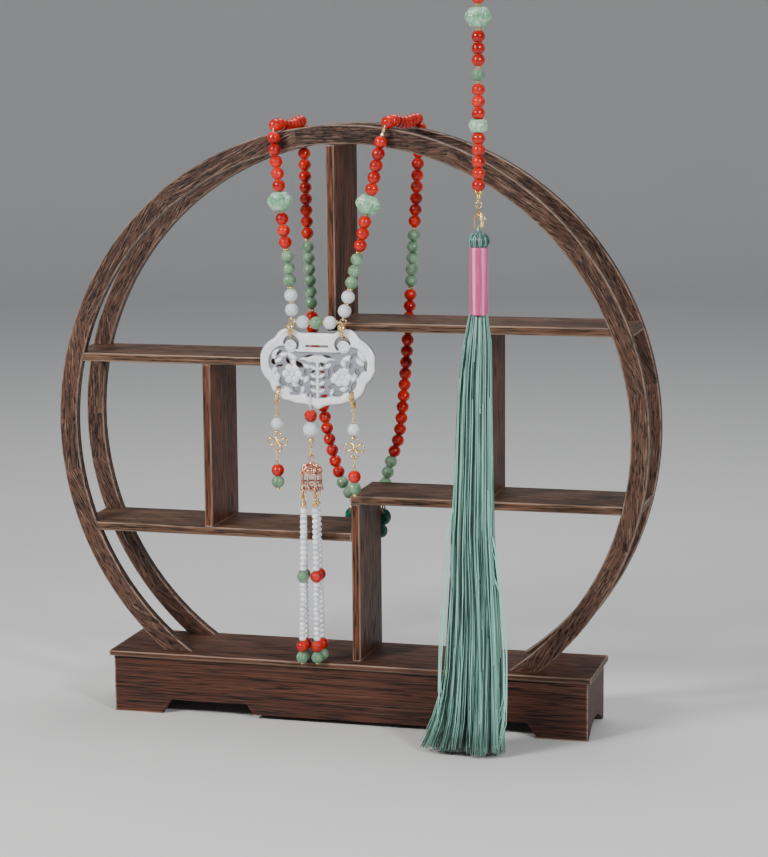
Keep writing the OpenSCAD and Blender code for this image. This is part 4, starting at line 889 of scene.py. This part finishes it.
def rondelles(low, high, x, y, lean, many=12):
    """A column of rondelles from low to high: one profile turned, then repeated upwards, and
    leant sideways about the thread's loop."""
    pitch = (high - low) / many
    one, _ = lathe(RONDELLE * [1, pitch * 0.98], 18)
    middle = low + (np.arange(many) + 0.5) * pitch - STRING_LOOP_Z
    points = (one + middle[:, None, None] * UP).reshape(-1, 3)
    cos, sin = np.cos(lean), np.sin(lean)
    return (points @ [[cos, 0, -sin], [0, 1, 0], [sin, 0, cos]] + [x, y, STRING_LOOP_Z],
            grid_faces(len(RONDELLE), 18, wrap_rows=True, copies=many))


# Milky glass: white with a cool body, a wet gloss, and no two beads quite the same
paint = Paint("milky_glass", Subsurface_Weight=0.4, Subsurface_Radius=(1, 1, 1.2),
              Coat_Weight=0.3, Coat_Roughness=0.05)
at = paint.places()
each = paint.step(paint.noise(at, (160, 160, 330), 1), 0.35, 0.65)
fine = paint.noise(at, 1800, 2)
build("rondelle_strings",
      [rondelles(*reach, x, y, lean) for (x, y), lean in zip(STRING_AT, STRING_LEAN)
       for reach in (LOWER, UPPER)],
      paint.finish(Base_Color=paint.mix(each, (214, 218, 226), (244, 245, 247)),
                   Roughness=0.14 + fine * 0.1, Normal=paint.bump(fine, 0.01)),
      "lock", ["fringe_strings"])
knots = np.column_stack([STRING_AT, np.full(4, KNOT_Z)])
build("knot_shells", [balls(knots + aside, *size) for aside, *size in (
    ((0.62, 0, 0), 1.15, 14, 10), ((-0.62, 0, 0), 1.15, 14, 10), ((0, 0, 1.5), 0.8, 12, 8),
    ((0.1, -0.3, 2.7), 0.75, 12, 8), ((-0.1, 0.3, 3.9), 0.6, 10, 8))], gold, "lock")


# The back pendant: a small carved cloud of teal jade behind the ring, its edge raised round a
# sunk field with a five-petalled flower, hung from the two back strings.
CLOUD = ((0, 0, 8.6), (9.2, 4.2, 5.4), (-9.2, 4.2, 5.4), (8, -4.6, 4.4), (-8, -4.6, 4.4),
         (0, 6.6, 5.0), (0, -7, 4.4))
CLOUD_AT = np.array([-1.5, 55.3, 111.7])
CLOUD_RINGS = np.array([0.004, 0.06, 0.12, 0.2, 0.28, 0.36, 0.4, 0.44, 0.55, 0.66, 0.74, 0.8, 0.85,
                        0.9, 0.94, 0.97, 1.0])[:, None]


def cloud_reach(turn):
    """How far the cloud reaches at an angle: the furthest of its circles."""
    cx, cz, r = np.transpose(CLOUD)[..., None]
    toward = cx * np.cos(turn) + cz * np.sin(turn)
    aside = cx * np.sin(turn) - cz * np.cos(turn)
    crossed = toward + np.sqrt(np.maximum(r ** 2 - aside ** 2, 0))
    return np.where(np.abs(aside) < r, crossed, 0).max(0)


def cloud_face(share, turn):
    """The face's height at a share of the way to the edge: petals, a sunk field, a rolled rim."""
    petals = held(1 - (share / 0.42) ** 4) * (0.5 + 0.5 * np.abs(np.cos(2.5 * turn)))
    edge = np.sqrt(1 - held((share - 0.9) / 0.1) ** 2)
    return (1.6 + 0.7 * np.maximum(petals, hump(share - 0.86, 0.1))) * np.maximum(edge, 0.3)


turn = full_turn(160)
face = polar(turn, cloud_reach(turn) * CLOUD_RINGS, cloud_face(CLOUD_RINGS, turn))[..., [0, 2, 1]]
points = CLOUD_AT + np.concatenate([face * [1, -1, 1], face[::-1]])
build("back_cloud", [(points.reshape(-1, 3), grid_faces(len(points), 160, wrap_rows=True))],
      stone("teal_jade", (14, 74, 62), (44, 124, 104), 3.5, 0.2, (0.8, 1.4, 1.2),
            veil=(120, 176, 156), veil_share=0.3),
      "stand", ["back_pendant"])


# The silk tassel: some sixteen hundred threads of sea-green silk, doubled over a cord loop, bound
# into a round head and left to fall. They lie in loose locks that part and flare at the floor.
TASSEL_X, TASSEL_Y = 91.6, -45.9
WRAP_LOW, HEAD_LOW, LOOP_Z = 252.8, 290.4, 300.1
LOCKS, PER_LOCK, STRAYS, JOINTS, KICK = 84, 19, 10, 17, 13.077
# The skirt's height, the middle of its width and half its width
SKIRT = np.array([
    (253.6, 91.4, 4.9), (246, 91.1, 6.7), (233, 90.7, 8.1), (216, 89.4, 9.4), (182, 88.9, 10.3),
    (148, 88.2, 11.4), (125, 87.7, 12.4), (91, 88.6, 14.2), (67, 88.6, 15.9), (44, 88.1, 17.1),
    (21, 87.2, 18.6), (2, 85.4, 21.0)])
rng = np.random.default_rng(7)


def skirt_at(height):
    """The middle of the skirt's width, and half its width, at a height."""
    return [np.interp(-height, -SKIRT[:, 0], SKIRT[:, k]) for k in (1, 2)]


def of_lock(numbers):
    """Each lock's number, given to all of its threads."""
    return np.repeat(numbers, PER_LOCK, 0)


def silk_paths():
    """Each thread's points: it keeps its own share of the skirt's width and depth all the way
    down, is drawn to the middle of its lock, and sways by slow sines that grow downwards. The
    ends at the left kick out."""
    threads = LOCKS * PER_LOCK
    lock_turn = rng.uniform(0, 2 * np.pi, LOCKS)
    lock_reach = rng.uniform(0.1, 1, LOCKS) ** 0.42 * 0.93
    turn = of_lock(lock_turn) + rng.normal(0, 0.2, threads)
    reach = held(of_lock(lock_reach) + rng.normal(0, 0.1, threads))
    end = of_lock(rng.uniform(1.4, 4.6, LOCKS)) + rng.exponential(1.6, threads)
    share = np.linspace(0, 1, JOINTS)
    height = SKIRT[0, 0] + (end[:, None] - SKIRT[0, 0]) * share
    middle, half = skirt_at(height)
    own = polar(turn, reach, 0)[:, None]
    mean = of_lock(polar(lock_turn, lock_reach, 0))[:, None]
    gather = (0.15 + 0.5 * of_lock(rng.uniform(0, 1, LOCKS))[:, None]) * share ** 1.5
    spread = own + (mean - own) * gather[..., None]
    phase = rng.uniform(0, 2 * np.pi, (2, threads, 1))
    pace = rng.uniform(2.0, 5.0, (2, threads, 1))
    sway = np.sin(pace * share * np.pi + phase) * (0.1 + 0.55 * share ** 1.3)
    kick = KICK * held(-own[..., 0] - 0.35) * held((share - 0.8) / 0.2) ** 1.6
    flat = np.interp(share, [0, 0.5, 1], [0.62, 0.6, 0.45])
    x = middle + half * spread[..., 0] + sway[0] - kick
    y = TASSEL_Y + flat * half * spread[..., 1] + sway[1] * 0.7
    return np.stack([x, y, height], -1), reach


def stray_paths():
    """Loose threads: they leave the skirt's flank, bow out of it and come back lower down."""
    share = np.linspace(0, 1, JOINTS)
    side = np.where(np.arange(STRAYS) % 5 < 2, -1, 1)[:, None]
    leave, bow = rng.uniform(0.45, 0.66, (STRAYS, 1)), rng.uniform(1.0, 4.2, (STRAYS, 1))
    height = SKIRT[0, 0] + (rng.uniform(2.5, 30, (STRAYS, 1)) - SKIRT[0, 0]) * share
    out = np.sin(held((share - leave) / (1.02 - leave)) * np.pi) ** 0.8
    middle, half = skirt_at(height)
    own = rng.uniform(0.5, 0.8, (STRAYS, 1))
    x = middle + side * (half * (own + (1 - own) * held(out * 3)) + bow * out)
    return np.stack([x, TASSEL_Y - 0.2 * half, height], -1)


def silk(name, dark, light, run):
    """Dyed silk: each thread has its own tone, and a soft lustre. The mesh's shade also carries
    painted shade: darker threads deep in the skirt, and the troughs between the head's ribs.
    """
    paint = Paint(name, Sheen_Weight=0.25, Sheen_Roughness=0.4, Specular_IOR_Level=0.6)
    streak = paint.noise(paint.places(), (1300, 1300, run), 2)
    share = paint.step(paint.shade() * 0.7 + streak * 0.7, 0.42, 1.02)
    return paint.finish(Base_Color=paint.mix(share, dark, light),
                        Roughness=0.32 + streak * 0.16, Normal=paint.bump(streak, 0.03))


sea_green = silk("silk_sea_green", (8, 44, 38), (156, 216, 198), 14)
threads, depth = silk_paths()
threads = np.concatenate([threads, stray_paths()])
taper = np.interp(np.linspace(0, 1, JOINTS), [0, 0.9, 1], [0.34, 0.31, 0.2])
shade = of_lock(rng.uniform(0, 1, LOCKS)) * 0.3 + rng.uniform(0, 1, len(depth)) * 0.85
# Threads deep in the skirt are darkened: painted shade in the gaps between the locks
shade = np.append(shade - 0.9 * held((0.84 - depth) / 0.3), np.full(STRAYS, 0.95))
build("silk_skirt", [tubes(threads, taper, 3)], sea_green, "stand", ["tassel_silk"],
      np.repeat(shade, (JOINTS + 2) * 3))

# The head: threads gathered over a core and tied under the loop, which rib it
HEAD = [(0, -1.2), (3.6, -1.1), (4.6, -0.4), (5.5, 0.6), (6.05, 2.2), (6.15, 3.6), (5.75, 5.2),
        (4.7, 6.8), (3.2, 7.9), (1.6, 8.5), (0, 8.7)]


def ribs(turn, height):
    """Narrow ribs round the head, which lean a little with the height."""
    return 1 + 0.02 * np.cos(34 * turn + 0.25 * height) + 0.02 * np.cos(11 * turn + 1)


turn = full_turn(204)
# Lighter on the rib crests and darker between them: painted light and shade on the head
shade = np.tile(0.3 + 0.16 * np.cos(34 * turn) + 0.14 * np.cos(11 * turn + 1), len(HEAD))
cord_loop = wire_ring((TASSEL_X, TASSEL_Y, LOOP_Z), 1.7, UP, FORE, 0.5, 24, 8)
build("silk_head", [lathe(HEAD, 204, (TASSEL_X, TASSEL_Y, HEAD_LOW), ribs), cord_loop],
      sea_green, "stand", ["tassel_silk"],
      np.append(shade, np.full(len(cord_loop[0]), 0.6)))


# The neck: rose-pink satin floss laid flat over the silk under the head in six paler and deeper
# bundles, smooth and bright, with a faint swell where the layers overlap. One pale bundle is set
# at the front right, where a highlight falls, as a painted highlight.
NECK_R, NECK_H = 5.28, 37.4


def floss_layers(turn, height):
    """Round, but for nine faint flutes and slow swells along the height."""
    return 1 - 0.012 * (1 + np.cos(9 * turn + 0.03 * height)) - 0.006 * np.sin(height * 0.45)


rise = np.linspace(0, 1, 60)
radius = NECK_R * (1 - 0.07 * np.abs(2 * rise - 1) ** 40) - 0.12 * np.sin(rise * np.pi)
wrap = [(0, 0.05), *zip(radius, 0.05 + rise * NECK_H), (0, 0.05 + NECK_H)]
paint = Paint("satin_floss", Sheen_Weight=0.3, Sheen_Roughness=0.3, Coat_Weight=0.2,
              Coat_Roughness=0.25)
x, y, z = at = paint.places()
angle = paint.sum("ARCTAN2", y - TASSEL_Y * MM, x - TASSEL_X * MM)
streak = paint.noise(at, (680, 680, 22), 3, 0.7)
fibre = paint.noise(at, (4900, 4900, 60), 2, 0.6)
# Six pale floss bands round the neck, turned so one falls where a highlight would be: partly the
# floss's pattern, partly a painted highlight
bundle = (angle + 0.8 + streak * 0.12) * 6
pale_floss_and_highlight = paint.step(paint.sum("COSINE", bundle), 0.35, 0.95)
seam = paint.step(paint.sum("COSINE", bundle + 2.1), 0.9, 1.0)
share = paint.step(streak * 0.7 + fibre * 0.3 + pale_floss_and_highlight * 0.4 - seam * 0.3, 0.36, 0.8)
build("satin_neck", [lathe(wrap, 96, (TASSEL_X, TASSEL_Y, WRAP_LOW), floss_layers)],
      paint.finish(Base_Color=paint.mix(share, (186, 62, 110), (240, 142, 184)),
                   Roughness=0.26 + fibre * 0.2, Normal=paint.bump(fibre * 0.5 + streak, 0.12)),
      "stand", ["tassel_wrap"])
